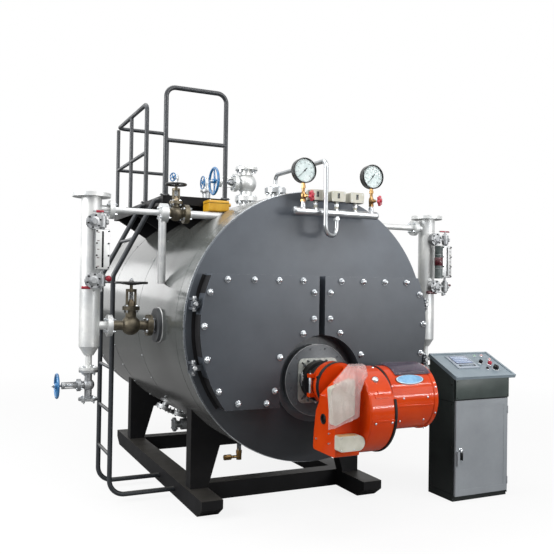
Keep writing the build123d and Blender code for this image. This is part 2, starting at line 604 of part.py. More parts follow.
# steam side lines: on the left with its valve and a leg down to the shell, on the right a plain pipe
STEAM_END_X = shell_x(STEAM_PIPE_Z) - 4 * CUT
LEG_X = STEAM_VALVE_X + STEAM_LEG
with BuildPart() as steam_line_left:
    along_x(-BRANCH_X, -BRANCH_X + FLANGE_T, COL_Y, STEAM_PIPE_Z, SMALL_FLANGE_R)
    along_x(-BRANCH_X, -LEG_X, COL_Y, STEAM_PIPE_Z, 20)
    along_x(-LEG_X - 18, -LEG_X + 32, COL_Y, STEAM_PIPE_Z, 66)
    along_x(-LEG_X, -STEAM_VALVE_X + 105, COL_Y, STEAM_PIPE_Z, 30)
    with Locations((-STEAM_VALVE_X, COL_Y, STEAM_PIPE_Z)):
        Sphere(52)
    along_x(-STEAM_VALVE_X + 55, -STEAM_VALVE_X + 89, COL_Y, STEAM_PIPE_Z, 66)
    along_x(-STEAM_VALVE_X + 89, -STEAM_END_X, COL_Y, STEAM_PIPE_Z, BRANCH_R)
    bonnet(Location((-STEAM_VALVE_X, COL_Y, STEAM_PIPE_Z + 20)), 26, 156, 46, 11, STEAM_STEM_R, 196)
    along_z(AXIS_Z + 270, STEAM_PIPE_Z - 5, -LEG_X, COL_Y, STEAM_LEG_R)
    cut_shell()
steam_line_left.part.label = "steam_line_left"
export_step(steam_line_left.part, "parts/steam_line_left.step")

with BuildPart() as steam_line_right:
    along_x(BRANCH_X, BRANCH_X - FLANGE_T, COL_Y, STEAM_PIPE_Z, SMALL_FLANGE_R)
    along_x(BRANCH_X, STEAM_END_X, COL_Y, STEAM_PIPE_Z, 24)
    cut_shell()
steam_line_right.part.label = "steam_line_right"
export_step(steam_line_right.part, "parts/steam_line_right.step")

# water side lines: flanged valve with bonnet, yoke and stem, nozzle and round pad on the shell
for name, side in (("water_line_left", -1), ("water_line_right", 1)):
    with BuildPart() as water_line:
        x = side * WATER_VALVE_X
        along_x(side * BRANCH_X, side * (BRANCH_X - FLANGE_T), COL_Y, WATER_PIPE_Z, WATER_FLANGE_R)
        along_x(side * BRANCH_X, side * (SHELL_R - 20), COL_Y, WATER_PIPE_Z, 32)
        with Locations((x, COL_Y, WATER_PIPE_Z)):
            Sphere(66)
        along_x(side * (SHELL_R + 82), side * (SHELL_R + 48), COL_Y, WATER_PIPE_Z, WATER_FLANGE_R)
        along_x(side * (SHELL_R + 24), side * (SHELL_R - 30), COL_Y, WATER_PIPE_Z, 116)
        bonnet(Location((x, COL_Y, WATER_PIPE_Z + 40)), 36, 206, 58, 13, WATER_STEM_R, 264)
        cut_shell()
    water_line.part.label = name
    export_step(water_line.part, "parts/" + name + ".step")

# level gauges in front of the columns: round cocks, valve bodies and levers above and below a glass plate
for name, side, out in (("level_gauge_left", -1, GLASS_OUT[0]), ("level_gauge_right", 1, GLASS_OUT[1])):
    with BuildPart() as level_gauge:
        x = side * COL_X - 5
        y = COL_Y - COL_R - 52
        for z in (GLASS_Z1 + COCK_UP, GLASS_Z0 - COCK_DOWN):
            along_y(y, COL_Y - COL_R + 2 * CUT, x, z, 14)
            along_y(y - 22, y + 22, x, z, COCK_R)
            along_x(x, x + out + 40, y, z, 13)
            along_z(z - 36, z + 36, x + out, y, 27)
        along_z(GLASS_Z1 + COCK_UP, GLASS_Z1 + COCK_UP + 70, x + out, y, 7)
        block(x + out - 60, x + out + 40, y - 5, y + 5, GLASS_Z1 + COCK_UP + 62, GLASS_Z1 + COCK_UP + 72)
        along_z(GLASS_Z0 - COCK_DOWN - 70, GLASS_Z0 - COCK_DOWN, x + out, y, 9)
        block(x - 50, x + out, y - 5, y + 5, GLASS_Z0 - COCK_DOWN - 52, GLASS_Z0 - COCK_DOWN - 42)
        along_z(GLASS_Z0 - COCK_DOWN, GLASS_Z1 + COCK_UP, x + out, y, 9)
        block(x + out - GLASS_W / 2, x + out + GLASS_W / 2, y - GLASS_T, y, GLASS_Z0, GLASS_Z1)
        if side > 0:
            along_z(GLASS_Z0 - 4, GLASS_Z1 - 4, x + out - GLASS_W / 2 - FLOAT_R + 5, y - 14, FLOAT_R)
        along_z(COL_Z0, COL_Z1, side * COL_X, COL_Y, COL_R + SEAT, Mode.SUBTRACT)
    level_gauge.part.label = name
    export_step(level_gauge.part, "parts/" + name + ".step")

# drain valves below the columns: body, foot flange and a stem to the outside
with BuildPart() as drain_valves:
    for side in (-1, 1):
        x = side * COL_X
        along_z(DRAIN_TOP_Z - FLANGE_T, DRAIN_TOP_Z, x, COL_Y, SMALL_FLANGE_R)
        along_z(DRAIN_FOOT_Z + FLANGE_T - 2, DRAIN_TOP_Z - 5, x, COL_Y, 24)
        along_z(DRAIN_FOOT_Z, DRAIN_FOOT_Z + FLANGE_T, x, COL_Y, SMALL_FLANGE_R)
        with Locations((x, COL_Y, DRAIN_Z)):
            Sphere(40)
        bonnet(Location((x, COL_Y, DRAIN_Z), (0, side * 90, 0)), 22, 170, 40, 9, DRAIN_STEM_R, 214)
drain_valves.part.label = "drain_valves"
export_step(drain_valves.part, "parts/drain_valves.step")

# the four handwheels that turn
with BuildPart() as drain_wheel:
    handwheel(Location((-COL_X - 200, COL_Y, DRAIN_Z), (0, 90, 0)), DRAIN_WHEEL, DRAIN_STEM_R)
drain_wheel.part.label = "drain_wheel"
export_step(drain_wheel.part, "parts/drain_wheel.step")

with BuildPart() as water_wheel:
    handwheel(Location((-WATER_VALVE_X, COL_Y, WATER_PIPE_Z + 288)), WATER_WHEEL, WATER_STEM_R)
water_wheel.part.label = "water_wheel"
export_step(water_wheel.part, "parts/water_wheel.step")

with BuildPart() as steam_wheel:
    handwheel(Location((-STEAM_VALVE_X, COL_Y, STEAM_PIPE_Z + 204)), STEAM_WHEEL, STEAM_STEM_R)
steam_wheel.part.label = "steam_wheel"
export_step(steam_wheel.part, "parts/steam_wheel.step")

with BuildPart() as outlet_wheel:
    handwheel(Location((OUTLET_WHEEL_X, OUTLET_Y, VALVE_Z), (0, 90, 0)), OUTLET_WHEEL, OUTLET_STEM_R)
outlet_wheel.part.label = "outlet_wheel"
export_step(outlet_wheel.part, "parts/outlet_wheel.step")

# main steam outlet on top: nozzle, lower flange, valve body and the drilled top flange
OUTLET_TOP_Z = VALVE_Z + 130
with BuildPart() as outlet_valve:
    along_z(TOP_Z - 4 * CUT, OUTLET_TOP_Z - CUT, 0, OUTLET_Y, OUTLET_PIPE_R)
    along_z(VALVE_Z - 146, VALVE_Z - 110, 0, OUTLET_Y, OUTLET_FLANGE_R)
    along_z(OUTLET_TOP_Z - 20, OUTLET_TOP_Z, 0, OUTLET_Y, OUTLET_FLANGE_R)
    with Locations((0, OUTLET_Y, VALVE_Z)):
        Sphere(84)
    bonnet(Location((-20, OUTLET_Y, VALVE_Z), (0, -90, 0)), 44, 226, 72, 14, OUTLET_STEM_R, 281)
    along_z(OUTLET_TOP_Z - 60, OUTLET_TOP_Z + CUT, 0, OUTLET_Y, 32, Mode.SUBTRACT)
    with Locations((0, OUTLET_Y, OUTLET_TOP_Z)):
        with PolarLocations(OUTLET_PCD_R, 8, start_angle=22.5):
            Cylinder(8.5, 60, mode=Mode.SUBTRACT)
    cut_shell()
outlet_valve.part.label = "outlet_valve"
export_step(outlet_valve.part, "parts/outlet_valve.step")

# small vent valve farther back
with BuildPart() as vent_valve:
    along_z(TOP_Z - 4 * CUT, TOP_Z + 70, VENT_X, VENT_Y, 27)
    along_z(TOP_Z + 60, TOP_Z + 78, VENT_X, VENT_Y, 57)
    along_z(TOP_Z + 70, TOP_Z + 230, VENT_X, VENT_Y, 36)
    along_z(TOP_Z + 120, TOP_Z + 160, VENT_X, VENT_Y, 46)
    along_z(TOP_Z + 228, TOP_Z + 246, VENT_X, VENT_Y, 57)
    cut_shell()
vent_valve.part.label = "vent_valve"
export_step(vent_valve.part, "parts/vent_valve.step")

# gauge line: flanged riser and a pipe bent over the front and up into the manifold
with BuildPart() as gauge_pipe:
    along_z(TOP_Z - 4 * CUT, RISER_TOP - 28, 0, RISER_Y, 30)
    along_z(RISER_TOP - 34, RISER_TOP, 0, RISER_Y, 80)
    with BuildLine() as pipe_path:
        FilletPolyline(
            (0, RISER_Y, RISER_TOP - CUT), (0, RISER_Y, TOP_Z + 200), (PIPE_X, PIPE_Y, TOP_Z + 182),
            (PIPE_X, PIPE_Y, LOOP_Z), (LOOP_X, GAUGE_Y, LOOP_Z), (LOOP_X, GAUGE_Y, MANIFOLD_Z - CUT),
            radius=[45, 45, 60, 60],
        )
    with BuildSketch(Plane(origin=pipe_path.line @ 0, z_dir=pipe_path.line % 0)):
        Circle(PIPE_R)
    sweep()
    along_x(MANIFOLD_X[0] - CUT, MANIFOLD_X[1] + CUT, GAUGE_Y, MANIFOLD_Z, MANIFOLD_R + SEAT, Mode.SUBTRACT)
    cut_shell()
gauge_pipe.part.label = "gauge_pipe"
export_step(gauge_pipe.part, "parts/gauge_pipe.step")

with BuildPart() as manifold:
    along_x(MANIFOLD_X[0], MANIFOLD_X[1], GAUGE_Y, MANIFOLD_Z, MANIFOLD_R)
    for x in (MANIFOLD_X[0] + 55, MANIFOLD_X[1] - 45):
        block(x - 14, x + 14, GAUGE_Y + MANIFOLD_R - CUT, -FRONT_T, MANIFOLD_Z - 10, MANIFOLD_Z + 10)
manifold.part.label = "manifold"
export_step(manifold.part, "parts/manifold.step")

for name, x in (("gauge_left", GAUGE_X[0]), ("gauge_right", GAUGE_X[1])):
    with BuildPart() as gauge:
        dial_z = MANIFOLD_Z + GAUGE_RISE
        along_z(MANIFOLD_Z + 20, dial_z - GAUGE_R + CUT, x, GAUGE_Y, PIPE_R)
        along_z(MANIFOLD_Z + 60, MANIFOLD_Z + 130, x, GAUGE_Y, 20)
        block(x + 10, x + 32, GAUGE_Y - 6, GAUGE_Y + 6, MANIFOLD_Z + 92, MANIFOLD_Z + 104)
        along_y(GAUGE_Y - 26, GAUGE_Y + 26, x, dial_z, GAUGE_R)
        along_y(GAUGE_Y - 40, GAUGE_Y - 18, x, dial_z, GAUGE_R - 10, Mode.SUBTRACT)
        along_x(x - 60, x + 60, GAUGE_Y, MANIFOLD_Z, MANIFOLD_R + SEAT, Mode.SUBTRACT)
    gauge.part.label = name
    export_step(gauge.part, "parts/" + name + ".step")

# pressure switches: three boxes on short necks
with BuildPart() as pressure_switches:
    for x in SWITCH_X:
        z0 = MANIFOLD_Z + SWITCH_RISE
        block(x - SWITCH_W / 2, x + SWITCH_W / 2, GAUGE_Y - 30, GAUGE_Y + 36, z0, z0 + SWITCH_H)
    fillet(pressure_switches.edges().filter_by(Axis.Y), 8)
    for x in SWITCH_X:
        along_z(MANIFOLD_Z + 20, MANIFOLD_Z + SWITCH_RISE + 4, x, GAUGE_Y, 13)
    along_x(MANIFOLD_X[0], MANIFOLD_X[1], GAUGE_Y, MANIFOLD_Z, MANIFOLD_R + SEAT, Mode.SUBTRACT)
pressure_switches.part.label = "pressure_switches"
export_step(pressure_switches.part, "parts/pressure_switches.step")

# level alarm box on the shell beside the platform's front, with its cable gland
ALARM_W = 152.0
ALARM_H = 80.0
ALARM_X = DECK_X1 - 125
ALARM_Y = DECK_Y0 - 12
ALARM_Z = TOP_Z - 106
with BuildPart() as alarm_box:
    block(ALARM_X - ALARM_W / 2, ALARM_X + ALARM_W / 2, ALARM_Y - 130, ALARM_Y, ALARM_Z, ALARM_Z + ALARM_H)
    fillet(alarm_box.edges().filter_by(Axis.X), 12)
    along_z(ALARM_Z - 120, ALARM_Z + CUT, ALARM_X, ALARM_Y - 45, 22)
    along_x(ALARM_X, ALARM_X + ALARM_W / 2 + 34, ALARM_Y - 65, ALARM_Z + 0.7 * ALARM_H, 14)
    cut_shell()
alarm_box.part.label = "alarm_box"
export_step(alarm_box.part, "parts/alarm_box.step")

# platform: a tray turned down, carried on three brackets
with BuildPart() as deck:
    block(DECK_X0, DECK_X1, DECK_Y0, DECK_Y1, DECK_Z - DECK_T, DECK_Z)
    block(DECK_X0 + DECK_WALL, DECK_X1 - DECK_WALL, DECK_Y0 + DECK_WALL, DECK_Y1 - DECK_WALL,
          DECK_Z - DECK_T - CUT, DECK_Z - DECK_WALL, Mode.SUBTRACT)
deck.part.label = "deck"
export_step(deck.part, "parts/deck.step")

with BuildPart() as deck_brackets:
    under = DECK_Z - DECK_T
    for i in range(3):
        y = DECK_Y0 + BRACKET_IN + i * (DECK_Y1 - DECK_Y0 - 2 * BRACKET_IN - BRACKET_T) / 2
        with BuildSketch(Plane.XZ.offset(-y)):
            Polygon(
                (DECK_X0 + CUT, under), (DECK_X1 - CUT, under), (DECK_X1 - CUT, under - 60),
                (-0.63 * SHELL_R, AXIS_Z + 0.74 * SHELL_R), (DECK_X0 + CUT, under - BRACKET_TIP),
                align=None,
            )
        extrude(amount=-BRACKET_T)
    cut_shell()
deck_brackets.part.label = "deck_brackets"
export_step(deck_brackets.part, "parts/deck_brackets.step")

# side and back guard rail in one piece: a bent top tube with posts and a middle tube
with BuildPart() as guard_side:
    with BuildLine() as top_tube:
        FilletPolyline(
            (POST_X, GAP_POST_Y, DECK_Z), (POST_X, GAP_POST_Y, GUARD_TOP), (POST_X, REAR_POST_Y, GUARD_TOP),
            (INNER_POST_X, REAR_POST_Y, GUARD_TOP), (INNER_POST_X, REAR_POST_Y, DECK_Z),
            radius=60,
        )
    with BuildSketch(Plane(origin=top_tube.line @ 0, z_dir=top_tube.line % 0)):
        Circle(POST_R)
    sweep()
    along_y(GAP_POST_Y, REAR_POST_Y, POST_X, GUARD_MID, POST_R - 2)
    along_x(POST_X, INNER_POST_X, REAR_POST_Y, GUARD_MID, POST_R - 2)
    along_z(DECK_Z, GUARD_TOP, POST_X, (GAP_POST_Y + REAR_POST_Y) / 2, POST_R - 1)
    along_z(DECK_Z, GUARD_TOP - POST_R, POST_X, REAR_POST_Y, POST_R - 1)
guard_side.part.label = "guard_side"
export_step(guard_side.part, "parts/guard_side.step")

with BuildPart() as guard_front:
    with BuildLine() as hoop:
        FilletPolyline(
            (POST_X, FRONT_POST_Y, DECK_Z), (POST_X, FRONT_POST_Y, GUARD_TOP),
            (INNER_POST_X, FRONT_POST_Y, GUARD_TOP), (INNER_POST_X, FRONT_POST_Y, DECK_Z),
            radius=70,
        )
    with BuildSketch(Plane(origin=hoop.line @ 0, z_dir=hoop.line % 0)):
        Circle(POST_R)
    sweep()
    along_x(POST_X, INNER_POST_X, FRONT_POST_Y, GUARD_MID, POST_R - 2)
guard_front.part.label = "guard_front"
export_step(guard_front.part, "parts/guard_front.step")

# ladder: two bent stiles, whose feet turn in to the skid, and round rungs
with BuildPart() as ladder:
    head_x = DECK_X0 - 30
    for y in LADDER_Y:
        with BuildLine() as stile_path:
            FilletPolyline(
                (-RAIL_X_OUT, y, LADDER_FOOT_Z), (LADDER_X, y, LADDER_FOOT_Z), (LADDER_X, y, LADDER_KNEE_Z),
                (head_x, y, LADDER_HEAD_Z), (DECK_X0, y, LADDER_HEAD_Z),
                radius=LADDER_BENDS,
            )
        with BuildSketch(Plane(origin=stile_path.line @ 0, z_dir=stile_path.line % 0)):
            Circle(LADDER_R)
        sweep()
    for i in range(RUNGS):
        z = RUNG_Z + i * RUNG_PITCH
        up = max(0.0, (z - LADDER_KNEE_Z) / (LADDER_HEAD_Z - LADDER_KNEE_Z))
        along_y(LADDER_Y[0], LADDER_Y[1], LADDER_X + up * (head_x - LADDER_X), z, RUNG_R)
ladder.part.label = "ladder"
export_step(ladder.part, "parts/ladder.step")

# drain below the shell with its small cock
DRAIN_Y = 1255.0
BOTTOM_Z = AXIS_Z - SHELL_R
with BuildPart() as shell_drain:
    along_z(BOTTOM_Z - 274, BOTTOM_Z + 3 * CUT, 0, DRAIN_Y, 17)
    along_z(BOTTOM_Z - 275, BOTTOM_Z - 220, 0, DRAIN_Y, 22)
    along_x(-70, 0, DRAIN_Y, BOTTOM_Z - 250, 12)
    along_x(-130, -60, DRAIN_Y, BOTTOM_Z - 250, 8)
    block(-130, -118, DRAIN_Y - 26, DRAIN_Y + 26, BOTTOM_Z - 255, BOTTOM_Z - 245)
    cut_shell()
shell_drain.part.label = "shell_drain"
export_step(shell_drain.part, "parts/shell_drain.step")

# blow-down line under the shell: elbow, valve body between flanges
BLOW_Y = 1900.0
BLOW_Z = BOTTOM_Z - 80
with BuildPart() as blowdown_line:
    along_z(BLOW_Z, BOTTOM_Z + 3 * CUT, 0, BLOW_Y, 27)
    along_x(-370, 34, BLOW_Y, BLOW_Z, 30)
    for x in (-168, -370):
        along_x(x, x + FLANGE_T + 2, BLOW_Y, BLOW_Z, SMALL_FLANGE_R)
    along_x(-300, -220, BLOW_Y, BLOW_Z, 50)
    cut_shell()
blowdown_line.part.label = "blowdown_line"
export_step(blowdown_line.part, "parts/blowdown_line.step")

# control cabinet: hollow body with a sloped top and lugs with the door's pivot pins
with BuildPart() as cabinet:
    with BuildSketch(Plane.YZ.offset(CAB_X0)):
        Polygon((CAB_Y0, 0), (CAB_Y1, 0), (CAB_Y1, CAB_BACK_Z), (CAB_Y0, CAB_FRONT_Z), align=None)
    extrude(amount=CAB_X1 - CAB_X0)
    with BuildSketch(Plane.YZ.offset(CAB_X0 + CAB_WALL)):
        Polygon(
            (CAB_Y0 - CUT, 3 * CAB_WALL), (CAB_Y1 - CAB_WALL, 3 * CAB_WALL),
            (CAB_Y1 - CAB_WALL, CAB_BACK_Z - 2 * CAB_WALL), (CAB_Y0 - CUT, CAB_FRONT_Z - 3 * CAB_WALL),
            align=None,
        )
    extrude(amount=CAB_X1 - CAB_X0 - 2 * CAB_WALL, mode=Mode.SUBTRACT)
    top0 = CAB_DOOR_Z1 + CAB_WALL
    foot1 = CAB_DOOR_Z0 - CAB_WALL
    block(CAB_X0, CAB_X1, CAB_Y0, CAB_Y0 + CAB_WALL, top0, CAB_FRONT_Z - 2)
    block(CAB_X0, CAB_X1, CAB_Y0, CAB_Y0 + CAB_WALL, 0, foot1)
    for z0, z1, pin in ((top0, top0 + 8, -1), (foot1 - 8, foot1, 1)):
        block(CAB_HINGE_X - 8, CAB_HINGE_X + 8, CAB_HINGE_Y, CAB_Y0, z0, z1)
        along_z(z0, z1, CAB_HINGE_X, CAB_HINGE_Y, 8)
        start = z0 if pin < 0 else z1
        along_z(start, start + pin * CAB_PIN_IN, CAB_HINGE_X, CAB_HINGE_Y, CAB_PIN_R)
cabinet.part.label = "cabinet"
export_step(cabinet.part, "parts/cabinet.step")

slope = math.degrees(math.atan2(CAB_BACK_Z - CAB_FRONT_Z, CAB_Y1 - CAB_Y0))
slope_len = math.hypot(CAB_BACK_Z - CAB_FRONT_Z, CAB_Y1 - CAB_Y0)
with BuildPart() as cabinet_panel:
    mid = ((CAB_X0 + CAB_X1 + CAB_LIP) / 2, (CAB_Y0 + CAB_Y1) / 2, (CAB_FRONT_Z + CAB_BACK_Z) / 2)
    with Locations(Location(mid, (slope, 0, 0))):
        Box(CAB_W + CAB_LIP, slope_len + 50, 26, align=(Align.CENTER, Align.CENTER, Align.MIN))
        with Locations((0, 0, 20)):
            Box(CAB_W + CAB_LIP - 36, slope_len + 14, 2 * CUT, mode=Mode.SUBTRACT,
                align=(Align.CENTER, Align.CENTER, Align.MIN))
cabinet_panel.part.label = "cabinet_panel"
export_step(cabinet_panel.part, "parts/cabinet_panel.step")

with BuildPart() as cabinet_door:
    block(CAB_X0 + 6, CAB_X1 - 6, CAB_Y0 - CAB_DOOR_T, CAB_Y0 - 5, CAB_DOOR_Z0, CAB_DOOR_Z1)
    fillet(cabinet_door.edges().filter_by(Axis.Z).group_by(Axis.Y)[0], 6)
    with Locations(Location(((CAB_X0 + CAB_X1) / 2, CAB_Y0 - CAB_DOOR_T, (CAB_DOOR_Z0 + CAB_DOOR_Z1) / 2))):
        Box(CAB_W - 90, 4, CAB_DOOR_Z1 - CAB_DOOR_Z0 - 90, mode=Mode.SUBTRACT)
    handle_z = (CAB_DOOR_Z0 + CAB_DOOR_Z1) / 2 - 70
    block(CAB_X0 + 14, CAB_X0 + 34, CAB_Y0 - CAB_DOOR_T - 14, CAB_Y0 - CAB_DOOR_T, handle_z - 50, handle_z + 50)
    along_z(CAB_DOOR_Z0 - CUT, CAB_DOOR_Z1 + CUT, CAB_HINGE_X, CAB_HINGE_Y, CAB_PIN_R + 0.5, Mode.SUBTRACT)
cabinet_door.part.label = "cabinet_door"
export_step(cabinet_door.part, "parts/cabinet_door.step")
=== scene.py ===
import random
from math import cos, exp, hypot, pi, radians, sin, sqrt

import bmesh
import bpy
from mathutils import Matrix, Vector


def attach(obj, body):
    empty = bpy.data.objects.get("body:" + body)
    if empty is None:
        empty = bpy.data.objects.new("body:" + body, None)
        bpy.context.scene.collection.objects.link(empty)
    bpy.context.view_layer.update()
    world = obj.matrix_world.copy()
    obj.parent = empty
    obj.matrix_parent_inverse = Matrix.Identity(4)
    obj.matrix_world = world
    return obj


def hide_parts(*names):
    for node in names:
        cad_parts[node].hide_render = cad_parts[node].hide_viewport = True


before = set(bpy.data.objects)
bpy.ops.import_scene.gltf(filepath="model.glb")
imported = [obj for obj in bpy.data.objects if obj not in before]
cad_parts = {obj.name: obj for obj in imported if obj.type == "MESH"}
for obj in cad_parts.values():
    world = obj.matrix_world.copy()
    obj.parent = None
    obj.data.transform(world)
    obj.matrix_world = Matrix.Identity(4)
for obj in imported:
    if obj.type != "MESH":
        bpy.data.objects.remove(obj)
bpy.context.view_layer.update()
scene = bpy.context.scene
draw = random.Random(7)
print("frame loaded:", len(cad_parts), "nodes")


# colours are written as sRGB hex and turned linear here
def linear(hexText):
    parts = [int(hexText[i:i + 2], 16) / 255 for i in (1, 3, 5)]
    return (*[c / 12.92 if c <= 0.04045 else ((c + 0.055) / 1.055) ** 2.4 for c in parts], 1.0)


# one node with its settings, input values and links
def addNode(tree, kind, settings=None, links=None):
    node = tree.nodes.new(kind)
    for key, value in (settings or {}).items():
        if key == "ramp":
            stops = node.color_ramp.elements
            while len(stops) < len(value):
                stops.new(1.0)
            for stop, (place, colour) in zip(stops, value):
                stop.position, stop.color = place, colour
        elif isinstance(key, int) or key in node.inputs:
            node.inputs[key].default_value = value
        else:
            setattr(node, key, value)
    for key, socket in (links or {}).items():
        tree.links.new(socket, node.inputs[key])
    return node


def startMaterial(name, **fixed):
    material = bpy.data.materials.new(name)
    material.use_nodes = True
    tree = material.node_tree
    tree.nodes.clear()
    shader = addNode(tree, "ShaderNodeBsdfPrincipled", {k.replace("_", " "): v for k, v in fixed.items()})
    addNode(tree, "ShaderNodeOutputMaterial", {}, {"Surface": shader.outputs["BSDF"]})
    where = addNode(tree, "ShaderNodeTexCoord").outputs["Object"]
    return material, tree, shader, where


# roughness that wanders between two values, and a bump; grain and depth are in metres. The true grain of
# most of these skins is under a millimetre, too fine to show, so it is drawn as coarse as it needs to show
def roughAndBump(tree, shader, where, look):
    laid = addNode(tree, "ShaderNodeMapping", {"Scale": look.get("stretch", (1, 1, 1))}, {"Vector": where})
    fine = addNode(tree, "ShaderNodeTexNoise", {"Scale": 1 / look["grain"], "Detail": 3.0},
                   {"Vector": laid.outputs[0]})
    smear = addNode(tree, "ShaderNodeTexNoise", {"Scale": 0.12 / look["grain"], "Detail": 3.0},
                    {"Vector": laid.outputs[0]})
    low, high = look["rough"]
    span = addNode(tree, "ShaderNodeMapRange", {"From Min": 0.3, "From Max": 0.7, "To Min": low,
                                                "To Max": high},
                   {"Value": smear.outputs["Fac"]})
    bump = addNode(tree, "ShaderNodeBump", {"Strength": 1.0, "Distance": look["depth"]},
                   {"Height": fine.outputs["Fac"]})
    tree.links.new(span.outputs[0], shader.inputs["Roughness"])
    tree.links.new(bump.outputs[0], shader.inputs["Normal"])


# clouds of a patch's size, in metres, and a tone that wanders with them between two colours
def cloudyTone(tree, where, look, stops, detail, roughness=0.5):
    cloud = addNode(tree, "ShaderNodeTexNoise", {"Scale": 1 / look["patch"], "Detail": detail,
                                                 "Roughness": roughness},
                    {"Vector": where})
    ramp = (stops[0], linear(look["low"])), (stops[1], linear(look["high"]))
    tone = addNode(tree, "ShaderNodeValToRGB", {"ramp": ramp}, {"Fac": cloud.outputs["Fac"]})
    return cloud.outputs["Fac"], tone.outputs["Color"]


# sprayed or brushed paint on steel: cloudy tone, dust on faces that look up (partly painted light on their
# tops), painted shade that darkens it low down, worn edges
def paintedSteel(name, paint):
    material, tree, shader, where = startMaterial(
        name, Metallic=paint.get("metallic", 0.0), Coat_Weight=paint.get("coat", 0.0), Coat_Roughness=0.12,
        Specular_IOR_Level=paint.get("specular", 0.5), Sheen_Weight=paint.get("sheen", 0.0))
    cloud, colour = cloudyTone(tree, where, paint, (0.34, 0.66), 5.0, 0.6)
    facing = addNode(tree, "ShaderNodeNewGeometry").outputs["Normal"]
    # faces that look up are made paler: dust, and partly painted light on their tops
    upward = addNode(tree, "ShaderNodeSeparateXYZ", {}, {"Vector": facing})
    lying = addNode(tree, "ShaderNodeMapRange", {"From Min": 0.5, "From Max": 1.0,
                                                 "To Max": paint.get("dustAndTopLight", 0.25)},
                    {"Value": upward.outputs["Z"]})
    drift = addNode(tree, "ShaderNodeMath", {"operation": "MULTIPLY"}, {0: lying.outputs[0], 1: cloud})
    dustAndTopLit = addNode(tree, "ShaderNodeMix", {"data_type": "RGBA", 7: linear("#9a958b")},
                    {0: drift.outputs[0], 6: colour})
    colour = dustAndTopLit.outputs[2]
    # painted shade: the colour darkens towards the bottom, standing in for the shade low down
    if "lowShade" in paint:
        height = addNode(tree, "ShaderNodeSeparateXYZ", {}, {"Vector": where})
        ragged = addNode(tree, "ShaderNodeMath", {"operation": "MULTIPLY_ADD", 1: 0.5},
                         {0: cloud, 2: height.outputs["Z"]})
        start, end = paint["lowShadeFrom"] + 0.25, paint["lowShadeTo"] + 0.25
        low = addNode(tree, "ShaderNodeMapRange", {"From Min": start, "From Max": end, "To Max": 0.85},
                      {"Value": ragged.outputs[0]})
        shadedLow = addNode(tree, "ShaderNodeMix", {"data_type": "RGBA", 7: linear(paint["lowShade"])},
                        {0: low.outputs[0], 6: colour})
        colour = shadedLow.outputs[2]
    if "worn" in paint:
        soft = addNode(tree, "ShaderNodeBevel", {"samples": 4, "Radius": paint.get("wornWidth", 0.004)})
        turn = addNode(tree, "ShaderNodeVectorMath", {"operation": "DOT_PRODUCT"},
                       {0: soft.outputs[0], 1: facing})
        chips = addNode(tree, "ShaderNodeTexNoise", {"Scale": 60.0, "Detail": 4.0}, {"Vector": where})
        edge = addNode(tree, "ShaderNodeMapRange", {"From Min": 0.97, "From Max": 0.8},
                       {"Value": turn.outputs["Value"]})
        bare = addNode(tree, "ShaderNodeMapRange", {"From Min": 0.45, "From Max": 0.6},
                       {"Value": chips.outputs["Fac"]})
        rubbed = addNode(tree, "ShaderNodeMath", {"operation": "MULTIPLY"},
                         {0: edge.outputs[0], 1: bare.outputs[0]})
        chipped = addNode(tree, "ShaderNodeMix", {"data_type": "RGBA", 7: linear(paint["worn"])},
                          {0: rubbed.outputs[0], 6: colour})
        colour = chipped.outputs[2]
    tree.links.new(colour, shader.inputs["Base Color"])
    roughAndBump(tree, shader, where, paint)
    return material


# a surface of one finish, from its clouds, its grain and the shader's own values
def evenSurface(name, look, stops, detail, roughness=0.5, **fixed):
    material, tree, shader, where = startMaterial(name, **fixed)
    tree.links.new(cloudyTone(tree, where, look, stops, detail, roughness)[1], shader.inputs["Base Color"])
    roughAndBump(tree, shader, where, look)
    return material


# bare or plated metal: streaked by how it was made, stained in patches
def bareMetal(name, metal):
    return evenSurface(name, metal, (0.3, 0.6), 6.0, 0.65, Metallic=1.0)


# moulded plastic or rubber: even colour with a faint mottle and a fine spark-eroded grain
def mouldedPlastic(name, plastic):
    return evenSurface(name, plastic, (0.35, 0.65), 4.0, Specular_IOR_Level=plastic.get("specular", 0.5),
                       Coat_Weight=plastic.get("coat", 0.0))


# clear sheet or pane: the tint varies a little with dust
def clearPane(name, pane):
    return evenSurface(name, pane, (0.35, 0.65), 4.0, Transmission_Weight=pane["clear"], IOR=pane["ior"],
                       Alpha=pane["alpha"])


# one casting or line in several finishes: each zone is a stretch along X with its own colour and shine
def zonedMetal(name, base, zones):
    material, tree, shader, where = startMaterial(name)
    stain, colour = cloudyTone(tree, where, base, (0.32, 0.64), 6.0, 0.62)
    place = addNode(tree, "ShaderNodeSeparateXYZ", {}, {"Vector": where})
    metallic = None
    for zone in zones:
        inside = addNode(tree, "ShaderNodeMath", {"operation": "COMPARE", 1: zone["middle"], 2: zone["half"]},
                         {0: place.outputs["X"]})
        ramp = (0.32, linear(zone["low"])), (0.64, linear(zone["high"]))
        skin = addNode(tree, "ShaderNodeValToRGB", {"ramp": ramp}, {"Fac": stain})
        colour = addNode(tree, "ShaderNodeMix", {"data_type": "RGBA"},
                         {0: inside.outputs[0], 6: colour, 7: skin.outputs["Color"]}).outputs[2]
        shine = addNode(tree, "ShaderNodeMix", {2: base["metallic"], 3: zone["metallic"]},
                        {0: inside.outputs[0]})
        if metallic:
            tree.links.new(metallic, shine.inputs[2])
        metallic = shine.outputs[0]
    tree.links.new(colour, shader.inputs["Base Color"])
    tree.links.new(metallic, shader.inputs["Metallic"])
    roughAndBump(tree, shader, where, base)
    return material


